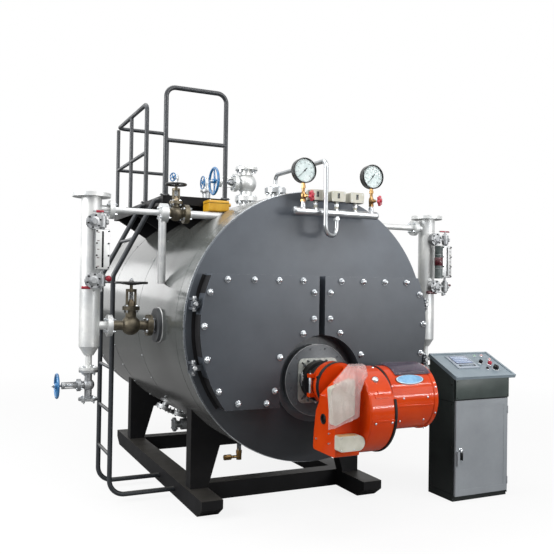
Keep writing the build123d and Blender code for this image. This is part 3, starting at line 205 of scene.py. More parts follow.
# alkyd enamel rolled on sheet cladding: satin, with the slow waves of thin sheet in its reflections. Its heavy
# dust is partly painted light on the upper faces, and its painted shade darkens it low down
claddingEnamel = paintedSteel("graphiteAlkydOnCladding", {
    "low": "#494d4c", "high": "#565b59", "patch": 0.9, "rough": (0.15, 0.24), "grain": 0.35, "depth": 0.004,
    "stretch": (1, 0.35, 1), "dustAndTopLight": 0.55, "specular": 0.5, "coat": 0.25, "sheen": 0.05, "lowShade": "#262522",
    "lowShadeFrom": 1.5, "lowShadeTo": 0.6})
# two-pack enamel on thick plate: slate blue-grey, flatter and a little glossier than the cladding, with painted
# shade darkening it towards the bottom
frontEnamel = paintedSteel("slateTwoPackEnamel", {
    "low": "#575d65", "high": "#656c75", "patch": 0.7, "rough": (0.3, 0.42), "grain": 0.16, "depth": 0.0012,
    "dustAndTopLight": 0.3, "worn": "#8a9096", "wornWidth": 0.003, "lowShade": "#1c1e21", "lowShadeFrom": 2.05,
    "lowShadeTo": 0.55, "specular": 0.35})
# black bituminous paint on rolled sections: dull, brownish where dust lies
skidPaint = paintedSteel("blackBitumenPaint", {
    "low": "#101011", "high": "#19191b", "patch": 0.25, "rough": (0.42, 0.6), "grain": 0.05, "depth": 0.0006,
    "dustAndTopLight": 0.2, "specular": 0.18, "worn": "#4a4640", "wornWidth": 0.004})
# aluminium paint on pipework: silvery leafing flakes over welds
silverPaint = paintedSteel("leafingAluminiumPaint", {
    "low": "#cdd0d1", "high": "#e5e6e4", "patch": 0.12, "rough": (0.34, 0.5), "grain": 0.03, "depth": 0.0007,
    "metallic": 0.55, "dustAndTopLight": 0.2})
# bright turned and zinc-plated steel: cool silver with a soft blur in its reflections
zincSteel = bareMetal("zincPlatedSteel", {
    "low": "#aeb3b8", "high": "#d5d9dc", "patch": 0.03, "rough": (0.2, 0.38), "grain": 0.006,
    "depth": 0.0002})
# polished stainless tube: long clean highlights
stainless = bareMetal("polishedStainless", {
    "low": "#a4a8ab", "high": "#c0c3c5", "patch": 0.08, "rough": (0.26, 0.38), "grain": 0.012,
    "depth": 0.0001, "stretch": (1, 1, 0.1)})
# sand-cast bronze, darkened by handling: brown-grey and grainy
castBronze = bareMetal("sandCastBronze", {
    "low": "#5c5448", "high": "#8d806c", "patch": 0.045, "rough": (0.42, 0.62), "grain": 0.006,
    "depth": 0.0007})
# cast steel valve bodies, bare grey with a matt blasted skin
castSteel = bareMetal("shotBlastedCastSteel", {
    "low": "#83868a", "high": "#aeb0b1", "patch": 0.05, "rough": (0.4, 0.56), "grain": 0.005,
    "depth": 0.0006})
# lines that are silver-painted pipe with a bare bronze valve in them, and a grey pad on the shell
lineBase = {"low": "#c3c6c8", "high": "#dcdddc", "patch": 0.05, "rough": (0.38, 0.56), "grain": 0.006,
            "depth": 0.0006, "metallic": 0.5}
bronzeSkin = {"low": "#4d483f", "high": "#7d7564", "metallic": 0.8}
steamLineFinish = zonedMetal("silverPipeBronzeValve", lineBase,
                             [{"middle": -0.7745, "half": 0.0755, **bronzeSkin}])
waterLineFinish = zonedMetal("silverBranchBronzeValve", lineBase, [
    {"middle": side * 1.0835, "half": 0.1355, **bronzeSkin} for side in (-1, 1)] + [
    {"middle": side * 0.90, "half": 0.030, "low": "#3f4143", "high": "#4b4d50",
     "metallic": 0.0} for side in (-1, 1)])
# machined brass: warm yellow
brass = bareMetal("machinedBrass", {
    "low": "#7d6238", "high": "#a3835a", "patch": 0.02, "rough": (0.22, 0.4), "grain": 0.004,
    "depth": 0.0002})
# brushed enamel on cast iron handwheels: strong blue, glossy
wheelBlue = paintedSteel("blueEnamelOnCastIron", {
    "low": "#1f6296", "high": "#327fb8", "patch": 0.05, "rough": (0.22, 0.36), "grain": 0.012,
    "depth": 0.0006, "coat": 0.5, "dustAndTopLight": 0.3})
# the same enamel in black, a little duller from hands
wheelBlack = paintedSteel("blackEnamelOnCastIron", {
    "low": "#121314", "high": "#1f2022", "patch": 0.05, "rough": (0.28, 0.42), "grain": 0.012,
    "depth": 0.0006, "coat": 0.3, "dustAndTopLight": 0.3})
# stove enamel on die-cast aluminium: hot orange-red, wet gloss, faint orange peel
burnerRed = paintedSteel("orangeRedStoveEnamel", {
    "low": "#cc3b0a", "high": "#d84811", "patch": 0.3, "rough": (0.09, 0.16), "grain": 0.02, "depth": 0.00025,
    "coat": 0.15, "specular": 0.2, "dustAndTopLight": 0.08, "worn": "#e0603c", "wornWidth": 0.002})
# matt heat-proof black on the sleeve and inside the burner
heatBlack = paintedSteel("heatProofBlack", {
    "low": "#161617", "high": "#232325", "patch": 0.08, "rough": (0.5, 0.7), "grain": 0.01, "depth": 0.0004,
    "dustAndTopLight": 0.25, "specular": 0.2})
# ivory polycarbonate boxes: slightly yellowed, fine moulded grain
ivory = mouldedPlastic("ivoryPolycarbonate", {
    "low": "#bfbdae", "high": "#d0cec1", "patch": 0.08, "rough": (0.36, 0.5), "grain": 0.004,
    "depth": 0.0002})
# black phenolic: knobs, levers and gauge rims
phenolic = mouldedPlastic("blackPhenolic", {
    "low": "#0e0f10", "high": "#17181a", "patch": 0.05, "rough": (0.22, 0.36), "grain": 0.006,
    "depth": 0.0002, "specular": 0.3, "coat": 0.05})
# dipped vinyl grips in dark red
redVinyl = mouldedPlastic("darkRedVinyl", {
    "low": "#8d1426", "high": "#b3263a", "patch": 0.03, "rough": (0.3, 0.45), "grain": 0.006,
    "depth": 0.0004})
# nitrile rubber and graphite seals: black, soft and dull
rubber = mouldedPlastic("nitrileRubber", {
    "low": "#0e0e0f", "high": "#1c1c1d", "patch": 0.04, "rough": (0.55, 0.75), "grain": 0.008,
    "depth": 0.0006, "specular": 0.3})
# polyester powder on the alarm box: signal yellow, satin
alarmYellow = paintedSteel("yellowPolyesterPowder", {
    "low": "#d9a01f", "high": "#eab836", "patch": 0.06, "rough": (0.3, 0.42), "grain": 0.006, "depth": 0.0003,
    "dustAndTopLight": 0.2, "worn": "#f3d98a"})
# tube enamel of rails and ladder: iron grey, satin, dusty on top
tubeEnamel = paintedSteel("ironGreyTubeEnamel", {
    "low": "#282b2f", "high": "#363a3f", "patch": 0.2, "rough": (0.28, 0.42), "grain": 0.02, "depth": 0.0004,
    "dustAndTopLight": 0.4})
# the cabinet's carcass: charcoal powder coat, satin, paler where edges are rubbed, with painted shade darkening
# it towards the bottom
cabinetDark = paintedSteel("charcoalPowderCoat", {
    "low": "#394140", "high": "#454d4b", "patch": 0.3, "rough": (0.38, 0.5), "grain": 0.01, "depth": 0.0003,
    "dustAndTopLight": 0.2, "specular": 0.3, "worn": "#5b6066", "wornWidth": 0.003, "lowShade": "#1b1e1e", "lowShadeFrom": 0.9,
    "lowShadeTo": 0.3})
# door of the cabinet: pale grey powder coat, satin, rubbed lighter at its edges
cabinetLight = paintedSteel("paleGreyPowderCoat", {
    "low": "#888d92", "high": "#959a9f", "patch": 0.35, "rough": (0.36, 0.48), "grain": 0.01, "depth": 0.0003,
    "dustAndTopLight": 0.15, "worn": "#a7abaf", "wornWidth": 0.003})
# the panel's bluish silver-grey powder, smoother than the carcass
panelPale = paintedSteel("silverGreyPowderCoat", {
    "low": "#7e8c95", "high": "#8d9ba4", "patch": 0.2, "rough": (0.32, 0.44), "grain": 0.01, "depth": 0.0003,
    "dustAndTopLight": 0.1})
# band under the panel: a greener grey, matt
fasciaGrey = paintedSteel("greenishGreyPowderCoat", {
    "low": "#353e3c", "high": "#414b48", "patch": 0.2, "rough": (0.38, 0.5), "grain": 0.01, "depth": 0.0003})
# enamelled dial: faintly green-white, smooth
dialWhite = mouldedPlastic("dialEnamel", {
    "low": "#c2cfcf", "high": "#d3dddc", "patch": 0.05, "rough": (0.3, 0.4), "grain": 0.01, "depth": 0.00005})
# printed figures and ticks: flat black ink
printBlack = mouldedPlastic("dialPrintBlack", {
    "low": "#14171a", "high": "#22262a", "patch": 0.02, "rough": (0.45, 0.6), "grain": 0.004,
    "depth": 0.00005})
# display glass over blue film: cool blue with a clear gloss
screenBlue = mouldedPlastic("displayFilmBlue", {
    "low": "#5c6f94", "high": "#7b8db0", "patch": 0.035, "rough": (0.12, 0.2), "grain": 0.02,
    "depth": 0.00005, "coat": 0.8})
# grey membrane of the keys: soft satin film
membrane = mouldedPlastic("polyesterMembrane", {
    "low": "#99a3ae", "high": "#aeb7c1", "patch": 0.05, "rough": (0.38, 0.5), "grain": 0.004,
    "depth": 0.0001})
# plain enamel plate: pale glossy blue
plateBlue = mouldedPlastic("plainBlueEnamelPlate", {
    "low": "#5b97c6", "high": "#8abde0", "patch": 0.05, "rough": (0.2, 0.3), "grain": 0.01, "depth": 0.0001,
    "coat": 0.6})
# gauge glass: clear, with thin sharp reflections
gaugeGlass = clearPane("gaugeGlass", {
    "low": "#f4f8f7", "high": "#ffffff", "patch": 0.05, "rough": (0.02, 0.05), "grain": 0.05,
    "depth": 0.00002, "clear": 1.0, "ior": 1.1, "alpha": 0.35})
# smoked polycarbonate: violet-grey, glossy, lets the red show a little
smokedCover = clearPane("smokedPolycarbonate", {
    "low": "#5a5564", "high": "#77707f", "patch": 0.12, "rough": (0.08, 0.16), "grain": 0.06, "depth": 0.0003,
    "clear": 0.45, "ior": 1.25, "alpha": 0.82})
# polyethylene film: nearly clear, milky in its folds, with sharp small glints
packingFilm = clearPane("polyethyleneFilm", {
    "low": "#d9c4c2", "high": "#efe4e1", "patch": 0.07, "rough": (0.15, 0.3), "grain": 0.03, "depth": 0.002,
    "clear": 0.3, "ior": 1.15, "alpha": 0.34})
# white plastic under a protective film: bright, slightly wavy gloss
filmedWhite = mouldedPlastic("filmedWhitePanel", {
    "low": "#dedbd8", "high": "#eeebe7", "patch": 0.09, "rough": (0.2, 0.34), "grain": 0.03, "depth": 0.0015,
    "coat": 0.4})
# heat paint on the burner's collar and disc: dark slate, satin
collarSlate = paintedSteel("darkSlateHeatPaint", {
    "low": "#474b4f", "high": "#5b6065", "patch": 0.12, "rough": (0.24, 0.36), "grain": 0.02, "depth": 0.0003,
    "dustAndTopLight": 0.3, "worn": "#7b8085", "wornWidth": 0.003})
# hot-dip galvanised plate: pale, dull, spangled
galvanised = paintedSteel("dullGalvanisedPlate", {
    "low": "#9ea29d", "high": "#c3c6c0", "patch": 0.02, "rough": (0.4, 0.55), "grain": 0.012, "depth": 0.0002,
    "metallic": 0.35, "dustAndTopLight": 0.1})
# fibre gasket: tan, matt
tanGasket = mouldedPlastic("tanFibreGasket", {
    "low": "#a6835a", "high": "#c29c6c", "patch": 0.03, "rough": (0.6, 0.75), "grain": 0.004,
    "depth": 0.0002})
# moulded urea knobs: clear warm red, glossy
knobRed = mouldedPlastic("redUreaKnob", {
    "low": "#b3273a", "high": "#cc4455", "patch": 0.02, "rough": (0.22, 0.34), "grain": 0.006,
    "depth": 0.0002, "coat": 0.4})
# dark maroon phenolic: nearly black, with a red tint where light falls on it
darkMaroon = mouldedPlastic("maroonPhenolic", {
    "low": "#3d0d16", "high": "#571522", "patch": 0.02, "rough": (0.24, 0.36), "grain": 0.006,
    "depth": 0.0002, "coat": 0.3})
# lamp lenses, unlit: pale, glossy, one pink and one green
lens = {"patch": 0.01, "rough": (0.1, 0.2), "grain": 0.006, "depth": 0.0001, "coat": 0.8}
lampPink = mouldedPlastic("palePinkLens", {"low": "#d9a3a3", "high": "#edc6c4", **lens})
lampGreen = mouldedPlastic("paleGreenLens", {"low": "#7ea88c", "high": "#a3c9ae", **lens})
# silicone keys: matt mid-grey
keyGrey = mouldedPlastic("siliconeKey", {
    "low": "#5f6972", "high": "#74808a", "patch": 0.02, "rough": (0.5, 0.65), "grain": 0.004,
    "depth": 0.0001})
# segments on the display: pale blue, flat
screenText = mouldedPlastic("displaySegments", {
    "low": "#bcd0ea", "high": "#d9e6f6", "patch": 0.01, "rough": (0.3, 0.4), "grain": 0.004,
    "depth": 0.00005})
# hammer paint on the float tube: green-grey with a soft gloss
floatGrey = paintedSteel("greenGreyHammerPaint", {
    "low": "#454d4c", "high": "#5d6665", "patch": 0.03, "rough": (0.26, 0.4), "grain": 0.008, "depth": 0.0005,
    "coat": 0.3, "dustAndTopLight": 0.2})
print("materials made")

finishes = {
    claddingEnamel: ["shell", "flue_box"],
    frontEnamel: ["front_plate", "rear_plate", "rear_cover", "door_left", "door_right", "door_hinges"],
    skidPaint: ["skid_left", "skid_right", "cross_beams", "saddle_front", "saddle_rear", "deck",
                "deck_brackets"],
    silverPaint: ["column_left", "column_right", "steam_line_right", "outlet_valve"],
    collarSlate: ["burner_collar"],
    heatBlack: ["blast_tube", "furnace_tube"],
    castSteel: ["tube_sheet", "drain_valves", "vent_valve", "blowdown_line", "level_gauge_left",
                "level_gauge_right"],
    zincSteel: ["burner_plate"],
    stainless: ["gauge_pipe", "manifold"],
    waterLineFinish: ["water_line_left", "water_line_right"],
    steamLineFinish: ["steam_line_left"],
    brass: ["shell_drain"],
    burnerRed: ["burner_head", "burner_scroll", "burner_intake"],
    ivory: ["burner_servo", "burner_panel", "pressure_switches"],
    wheelBlue: ["outlet_wheel", "drain_wheel"],
    wheelBlack: ["water_wheel", "steam_wheel", "gauge_left", "gauge_right"],
    tubeEnamel: ["guard_side", "guard_front", "ladder"],
    alarmYellow: ["alarm_box"],
    cabinetDark: ["cabinet"],
    panelPale: ["cabinet_panel"],
    cabinetLight: ["cabinet_door"],
}
for finish, nodes in finishes.items():
    for node in nodes:
        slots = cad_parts[node].data.materials
        slots.clear()
        slots.append(finish)
print("nodes finished")


# a matrix that stands a shape's own Z along an axis at a place
def standing(place, axis=(0, 0, 1), turn=0.0):
    tilt = Vector((0, 0, 1)).rotation_difference(Vector(axis)).to_matrix().to_4x4()
    return Matrix.Translation(place) @ tilt @ Matrix.Rotation(turn, 4, "Z")


# shape's X to the right, its Y up, its Z towards the viewer in front
def facingFront(place):
    return Matrix.Translation(place) @ Matrix.Rotation(pi / 2, 4, "X")


def joinInto(piece, shape, matrix=Matrix(), material=0):
    bmesh.ops.remove_doubles(shape, verts=shape.verts, dist=1e-6)
    bmesh.ops.transform(shape, matrix=matrix, verts=shape.verts)
    bmesh.ops.recalc_face_normals(shape, faces=shape.faces)
    for face in shape.faces:
        face.material_index = material
    mesh = bpy.data.meshes.new("joined")
    shape.to_mesh(mesh)
    shape.free()
    piece.from_mesh(mesh)
    bpy.data.meshes.remove(mesh)


def stamp(piece, template, matrix):
    mesh = template.copy()
    mesh.transform(matrix)
    piece.from_mesh(mesh)
    bpy.data.meshes.remove(mesh)


# a fastener whose own Z points along the axis, scaled to its size across the flats
def fasten(piece, kind, flats, spot, axis=(0, -1, 0), turn=0.0):
    stamp(piece, kind, standing(spot, axis, turn) @ Matrix.Scale(flats, 4))


def soften(shape, edges, width):
    bmesh.ops.bevel(shape, geom=edges, offset=width, segments=2, profile=0.5, affect="EDGES", material=-1)


# faces pushed up along the shape's own Z, with walls under them
def raiseFaces(shape, faces, height):
    grown = bmesh.ops.extrude_face_region(shape, geom=faces)
    verts = [v for v in grown["geom"] if isinstance(v, bmesh.types.BMVert)]
    bmesh.ops.translate(shape, vec=(0, 0, height), verts=verts)


def bar(piece, start, end, r, endR=None, segments=16, material=0, rounded=0.0):
    start, end = Vector(start), Vector(end)
    shape = bmesh.new()
    bmesh.ops.create_cone(shape, cap_ends=True, segments=segments, radius1=r,
                          radius2=r if endR is None else endR, depth=(end - start).length)
    if rounded:
        soften(shape, [e for e in shape.edges if all(len(f.verts) > 3 for f in e.link_faces)
                       and abs(e.verts[0].co.z - e.verts[1].co.z) < 1e-6], rounded)
    joinInto(piece, shape, standing((start + end) / 2, end - start), material)


def block(piece, low, high, edge=0.0, material=0, matrix=Matrix()):
    low, high = Vector(low), Vector(high)
    shape = bmesh.new()
    bmesh.ops.create_cube(shape, size=1.0,
                          matrix=Matrix.Translation((low + high) / 2) @ Matrix.Diagonal((*(high - low), 1)))
    if edge:
        soften(shape, shape.edges[:], edge)
    joinInto(piece, shape, matrix, material)


# a profile of (radius, height) pairs turned round the shape's own Z
def turned(piece, profile, matrix, segments=32, material=0, angle=2 * pi, closed=False):
    shape = bmesh.new()
    verts = [shape.verts.new((r, 0, h)) for r, h in profile]
    pairs = list(zip(verts, verts[1:])) + ([(verts[-1], verts[0])] if closed else [])
    edges = [shape.edges.new(pair) for pair in pairs]
    full = angle > 6.28
    swept = bmesh.ops.spin(shape, geom=verts + edges, cent=(0, 0, 0), axis=(0, 0, 1), angle=angle,
                           steps=segments, use_merge=full)
    if closed and not full:
        for loop in (edges, [g for g in swept["geom_last"] if isinstance(g, bmesh.types.BMEdge)]):
            bmesh.ops.edgeloop_fill(shape, edges=loop)
    joinInto(piece, shape, matrix, material)


# a solid turned from its rim alone: both ends are closed to the axis
def spindle(piece, rim, matrix, segments=32, material=0):
    turned(piece, [(0, rim[0][1])] + rim + [(0, rim[-1][1])], matrix, segments, material)


def ringTube(piece, matrix, ringR, tubeR, segments=40, sides=10, material=0):
    corners = [2 * pi * i / sides for i in range(sides)]
    profile = [(ringR + tubeR * cos(a), tubeR * sin(a)) for a in corners]
    turned(piece, profile, matrix, segments, material, closed=True)


# bars from a hub to a ring; near and far are (reach, height) on the place's own axes
def spokes(piece, place, count, near, far, r, endR, sides, first=0.0):
    for i in range(count):
        a = first + 2 * pi * i / count
        start, end = (place @ Vector((reach * cos(a), reach * sin(a), h)) for reach, h in (near, far))
        bar(piece, start, end, r, endR, sides)


# an outline of (x, y) corners raised along the shape's own Z, its upper edges softened
def plate(piece, outline, thick, matrix, edge=0.0, material=0):
    shape = bmesh.new()
    raiseFaces(shape, [shape.faces.new([shape.verts.new((x, y, 0)) for x, y in outline])], thick)
    if edge:
        soften(shape, [e for e in shape.edges if all(v.co.z > thick - 1e-6 for v in e.verts)], edge)
    joinInto(piece, shape, matrix, material)


# a plate cut from an outline with holes left in it
def piercedPlate(piece, outline, holes, thick, matrix, material=0):
    shape = bmesh.new()
    for loop in [outline] + holes:
        verts = [shape.verts.new((x, y, 0)) for x, y in loop]
        for pair in zip(verts, verts[1:] + verts[:1]):
            shape.edges.new(pair)
    filled = bmesh.ops.triangle_fill(shape, use_beauty=True, edges=shape.edges[:], normal=(0, 0, 1))
    raiseFaces(shape, [f for f in filled["geom"] if isinstance(f, bmesh.types.BMFace)], thick)
    joinInto(piece, shape, matrix, material)


def roundedOutline(halfX, halfY, corner, centre=(0, 0), turn=0.0, steps=5):
    points = []
    for quarter, (sx, sy) in enumerate(((1, 1), (-1, 1), (-1, -1), (1, -1))):
        for i in range(steps + 1):
            a = (quarter + i / steps) * pi / 2
            x, y = sx * (halfX - corner) + corner * cos(a), sy * (halfY - corner) + corner * sin(a)
            points.append((centre[0] + x * cos(turn) - y * sin(turn),
                           centre[1] + x * sin(turn) + y * cos(turn)))
    return points


# a flat grid with its low corner at the origin
def flatGrid(across, along, wide, tall, height=0.0):
    shape = bmesh.new()
    place = Matrix.Translation((wide / 2, tall / 2, height)) @ Matrix.Diagonal((wide, tall, 1, 1))
    bmesh.ops.create_grid(shape, x_segments=across, y_segments=along, size=0.5, matrix=place)
    return shape


# lays a flat shape on a drum along X: x stays, y goes round from the top to the front, z goes outwards
def wrapRound(shape, drum, startX, fromTop):
    for v in shape.verts:
        a = fromTop + v.co.y / drum["r"]
        out = drum["r"] + v.co.z
        v.co = Vector((startX + v.co.x, drum["y"] - out * sin(a), drum["z"] + out * cos(a)))


def asMesh(piece, name):
    mesh = bpy.data.meshes.new(name)
    piece.to_mesh(mesh)
    piece.free()
    return mesh


def finishPiece(name, piece, materials, body="root", crease=38):
    mesh = asMesh(piece, name)
    for material in materials:
        mesh.materials.append(material)
    mesh.shade_smooth()
    mesh.set_sharp_from_angle(angle=radians(crease))
    made = bpy.data.objects.new(name, mesh)
    scene.collection.objects.link(made)
    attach(made, body)
    return made


# fasteners, sized for a bolt one metre across its flats and scaled where they are used
fasteners = {
    "head": [([(0.62, 0), (0.62, 0.1), (0.0, 0.1)], 12),
             ([(0.577, 0.1), (0.577, 0.6), (0.5, 0.7), (0, 0.7)], 6)],
    "nut": [([(0.62, 0), (0.62, 0.1), (0.0, 0.1)], 12),
            ([(0.577, 0.1), (0.577, 0.8), (0.5, 0.9), (0.3, 0.9), (0.3, 1.3), (0.26, 1.36), (0, 1.36)], 6)],
    "domeNut": [([(0.66, 0), (0.66, 0.12), (0.55, 0.14), (0.0, 0.14)], 16),
                ([(0.577, 0.12), (0.577, 0.5), (0.5, 0.58), (0, 0.58)], 6),
                ([(0.46, 0.56), (0.45, 0.68), (0.38, 0.85), (0.24, 0.97), (0, 1.02)], 12)],
}


def fastenerMesh(name):
    shape = bmesh.new()
    for profile, segments in fasteners[name]:
        turned(shape, profile, Matrix(), segments)
    return asMesh(shape, name)


boltHead, boltNut, domeNut = fastenerMesh("head"), fastenerMesh("nut"), fastenerMesh("domeNut")


# bolts through a flange: a head on the near side, a nut on the far side
def boltCircle(piece, centre, axis, pitchR, count, grip, flats, first=0.0):
    centre, axis = Vector(centre), Vector(axis)
    around = standing((0, 0, 0), axis)
    for i in range(count):
        a = first + 2 * pi * i / count
        spot = centre + around @ Vector((pitchR * cos(a), pitchR * sin(a), 0))
        fasten(piece, boltHead, flats, spot, axis, a)
        fasten(piece, boltNut, flats, spot - axis * grip, -axis, a)


# heads in a circle on an upright face that looks to the front (out is -1) or to the rear
def headCircle(piece, centre, r, count, flats, first=0.5, out=-1):
    for i in range(count):
        a = 2 * pi * (i + first) / count
        fasten(piece, boltHead, flats, (centre[0] + r * cos(a), centre[1], centre[2] + r * sin(a)),
               (0, out, 0), a)


# smokebox doors: silver dome nuts on both doors, mirrored about the slot
doorNuts = {
    "flats": 0.031, "faceY": -0.132,
    "places": [(0.664, 1.572), (0.485, 1.572), (0.314, 1.572), (0.142, 1.572), (0.776, 1.492), (0.811, 1.285),
               (0.790, 1.082), (0.711, 0.885), (0.583, 0.804), (0.389, 0.797), (0.334, 0.872), (0.301, 1.083),
               (0.138, 1.231), (0.061, 1.496), (0.060, 1.325)],
}
for side, body, name in ((-1, "left_door", "door_nuts_left"), (1, "root", "door_nuts_right")):
    piece = bmesh.new()
    for i, (x, z) in enumerate(doorNuts["places"]):
        fasten(piece, domeNut, doorNuts["flats"], (side * x, doorNuts["faceY"], z), turn=i * 0.7)
    finishPiece(name, piece, [zincSteel], body)
print("door nuts placed")

# places that several pieces share
boiler = {"axisZ": 1.27, "shellR": 0.9, "columnY": 0.57, "pipeY": -0.13}
scrollDrum = {"y": -0.44, "z": 0.785, "r": 0.262}
intakeDrum = {"y": -0.44, "z": 0.845, "r": 0.2}

# bright edge where the cladding is turned over the end plates, lapped seams of its sheets, and their screws
cladding = {"rims": (-0.001, 3.089), "rimWide": 0.012, "laps": (0.165, 1.13, 2.09, 2.94), "lapWide": 0.03,
            "lapRise": 0.0012, "screws": 30, "screwIn": 0.015, "screwFlats": 0.008}
alongShell, r = standing((0, 0, boiler["axisZ"]), (0, 1, 0)), boiler["shellR"]
piece = bmesh.new()
for y in cladding["rims"]:
    end = y + cladding["rimWide"]
    turned(piece, [(r - 0.003, y), (r + 0.002, y), (r + 0.002, end), (r, end), (r - 0.003, y)], alongShell,
           96)
finishPiece("cladding_rims", piece, [zincSteel])
piece = bmesh.new()
for y in cladding["laps"]:
    end, top = y + cladding["lapWide"], r + cladding["lapRise"]
    turned(piece, [(r - 0.001, y), (top, y + 0.001), (top, end - 0.001), (r - 0.001, end)], alongShell, 96)
finishPiece("cladding_laps", piece, [claddingEnamel])
piece = bmesh.new()
for y in cladding["laps"][1:]:
    for i in range(cladding["screws"]):
        a = 2 * pi * (i + 0.5) / cladding["screws"]
        out = Vector((cos(a), 0, sin(a)))
        spot = Vector((0, y + cladding["screwIn"], boiler["axisZ"])) + out * (r + 0.001)
        fasten(piece, boltHead, cladding["screwFlats"], spot, out)
finishPiece("cladding_screws", piece, [zincSteel])
print("cladding seams laid")

# bolted flanges: centre of the near face, axis, pitch radius, count, grip, size across flats
flangeBolts = {
    "silver_paint": {
        "onBothSides": [
            ((1.365, 0.57, 0.981), (0, 0, 1), 0.046, 4, 0.032, 0.014),
            ((1.365, 0.57, 0.78), (0, 0, 1), 0.046, 4, 0.016, 0.014),
            ((1.251, 0.57, 2.03), (1, 0, 0), 0.046, 4, 0.032, 0.014),
            ((1.251, 0.57, 1.255), (1, 0, 0), 0.055, 4, 0.032, 0.016),
            ((0.982, 0.57, 1.255), (1, 0, 0), 0.056, 4, 0.034, 0.016),
        ],
        "once": [
            ((-0.9, 0.57, 2.03), (-1, 0, 0), 0.05, 4, 0.05, 0.014),
            ((-0.733, 0.57, 2.03), (-1, 0, 0), 0.05, 4, 0.034, 0.014),
            ((0, 1.19, 2.268), (0, 0, 1), 0.0725, 8, 0.036, 0.018),
            ((0, 1.19, 2.508), (0, 0, 1), 0.0725, 8, 0.02, 0.018),
            ((0, 0.62, 2.268), (0, 0, 1), 0.062, 6, 0.034, 0.016),
            ((-0.06, 2.0, 2.248), (0, 0, 1), 0.044, 4, 0.018, 0.012),
            ((-0.06, 2.0, 2.416), (0, 0, 1), 0.044, 4, 0.018, 0.012),
            ((-0.168, 1.9, 0.29), (-1, 0, 0), 0.048, 4, 0.018, 0.014),
            ((-0.37, 1.9, 0.29), (-1, 0, 0), 0.048, 4, 0.018, 0.014),
        ],
    },
    "bronze": {
        "onBothSides": [
            ((1.09, 0.57, 1.3836), (0, 0, 1), 0.047, 4, 0.0268, 0.014),
            ((1.438, 0.57, 0.866), (1, 0, 0), 0.031, 4, 0.022, 0.011),
        ],
        "once": [
            ((-0.788, 0.57, 2.117), (0, 0, 1), 0.036, 4, 0.0203, 0.012),
            ((-0.1172, 1.19, 2.378), (-1, 0, 0), 0.058, 6, 0.0294, 0.015),
        ],
    },
}
for slot, circles in flangeBolts.items():
    piece = bmesh.new()
    rows = [(side, row) for side in (-1, 1) for row in circles["onBothSides"]]
    rows += [(1, row) for row in circles["once"]]
    for side, ((x, y, z), (ax, ay, az), pitchR, count, grip, flats) in rows:
        boltCircle(piece, (side * x, y, z), (side * ax, ay, az), pitchR, count, grip, flats, pi / count)
    finishPiece("flange_bolts_" + slot, piece, [zincSteel])
print("flanges bolted")

# handwheels: round rim, dished spokes, hub and nut on the stem's end
handwheels = {
    "outlet": {"centre": (-0.283, 1.19, 2.378), "axis": (-1, 0, 0), "r": 0.116, "rim": 0.0105, "spokes": 4,
               "dish": 0.006, "node": "outlet_wheel"},
    "drain": {"centre": (-1.565, 0.57, 0.866), "axis": (-1, 0, 0), "r": 0.084, "rim": 0.0085, "spokes": 4,
              "dish": 0.004, "node": "drain_wheel"},
    "water": {"centre": (-1.09, 0.57, 1.543), "axis": (0, 0, 1), "r": 0.112, "rim": 0.009, "spokes": 5,
              "dish": 0.01, "node": "water_wheel"},
    "steam": {"centre": (-0.788, 0.57, 2.234), "axis": (0, 0, 1), "r": 0.076, "rim": 0.0075, "spokes": 4,
              "dish": 0.006, "node": "steam_wheel"},
}
hub = 0.021
for name, wheel in handwheels.items():
    piece = bmesh.new()
    place = standing(wheel["centre"], wheel["axis"])
    rim, ringR = wheel["rim"], wheel["r"] - wheel["rim"]
    ringTube(piece, place, ringR, rim)
    spokes(piece, place, wheel["spokes"], (0.012, -wheel["dish"]), (ringR, 0), rim * 0.85, rim * 0.6, 10)
    spindle(piece, [(hub, -0.014), (hub + 0.001, -0.004), (hub - 0.002, 0.01), (0.014, 0.014)], place, 20)
    turned(piece, [(0.0125, 0.013), (0.0125, 0.023), (0.0105, 0.025), (0, 0.025)], place, 6, 1)
    turned(piece, [(0.006, 0.024), (0.006, 0.032), (0.004, 0.034), (0, 0.034)], place, 12, 1)
    blue = name in ("outlet", "drain")
    made = finishPiece(name + "_handwheel_rim", piece, [wheelBlue if blue else wheelBlack, zincSteel],
                       name + "_handwheel")
    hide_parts(wheel["node"])
print("handwheels turned")

# valve tops: gland nut and threaded stem
waterTop = {"axis": (0, 0, 1), "gland": 0.122, "stem": 0.011, "end": 0.195, "r": 0.022, "slot": "bronze"}
drainTop = {"gland": 0.095, "stem": 0.008, "end": 0.16, "r": 0.014, "slot": "bare_steel"}
valveTops = {
    "steam_valve_gland": {"at": (-0.788, 0.57, 2.05), "axis": (0, 0, 1), "gland": 0.09, "stem": 0.009,
                          "end": 0.15, "r": 0.017, "slot": "bronze"},
    "water_valve_gland_left": {"at": (-1.09, 0.57, 1.295), **waterTop},
    "water_valve_gland_right": {"at": (1.09, 0.57, 1.295), **waterTop},
    "outlet_valve_gland": {"at": (-0.02, 1.19, 2.378), "axis": (-1, 0, 0), "gland": 0.13, "stem": 0.011,
                           "end": 0.2, "r": 0.026, "slot": "silver_paint"},
    "drain_valve_gland_left": {"at": (-1.365, 0.57, 0.866), "axis": (-1, 0, 0), **drainTop},
    "drain_valve_gland_right": {"at": (1.365, 0.57, 0.866), "axis": (1, 0, 0), **drainTop},
}
pitch = 0.004
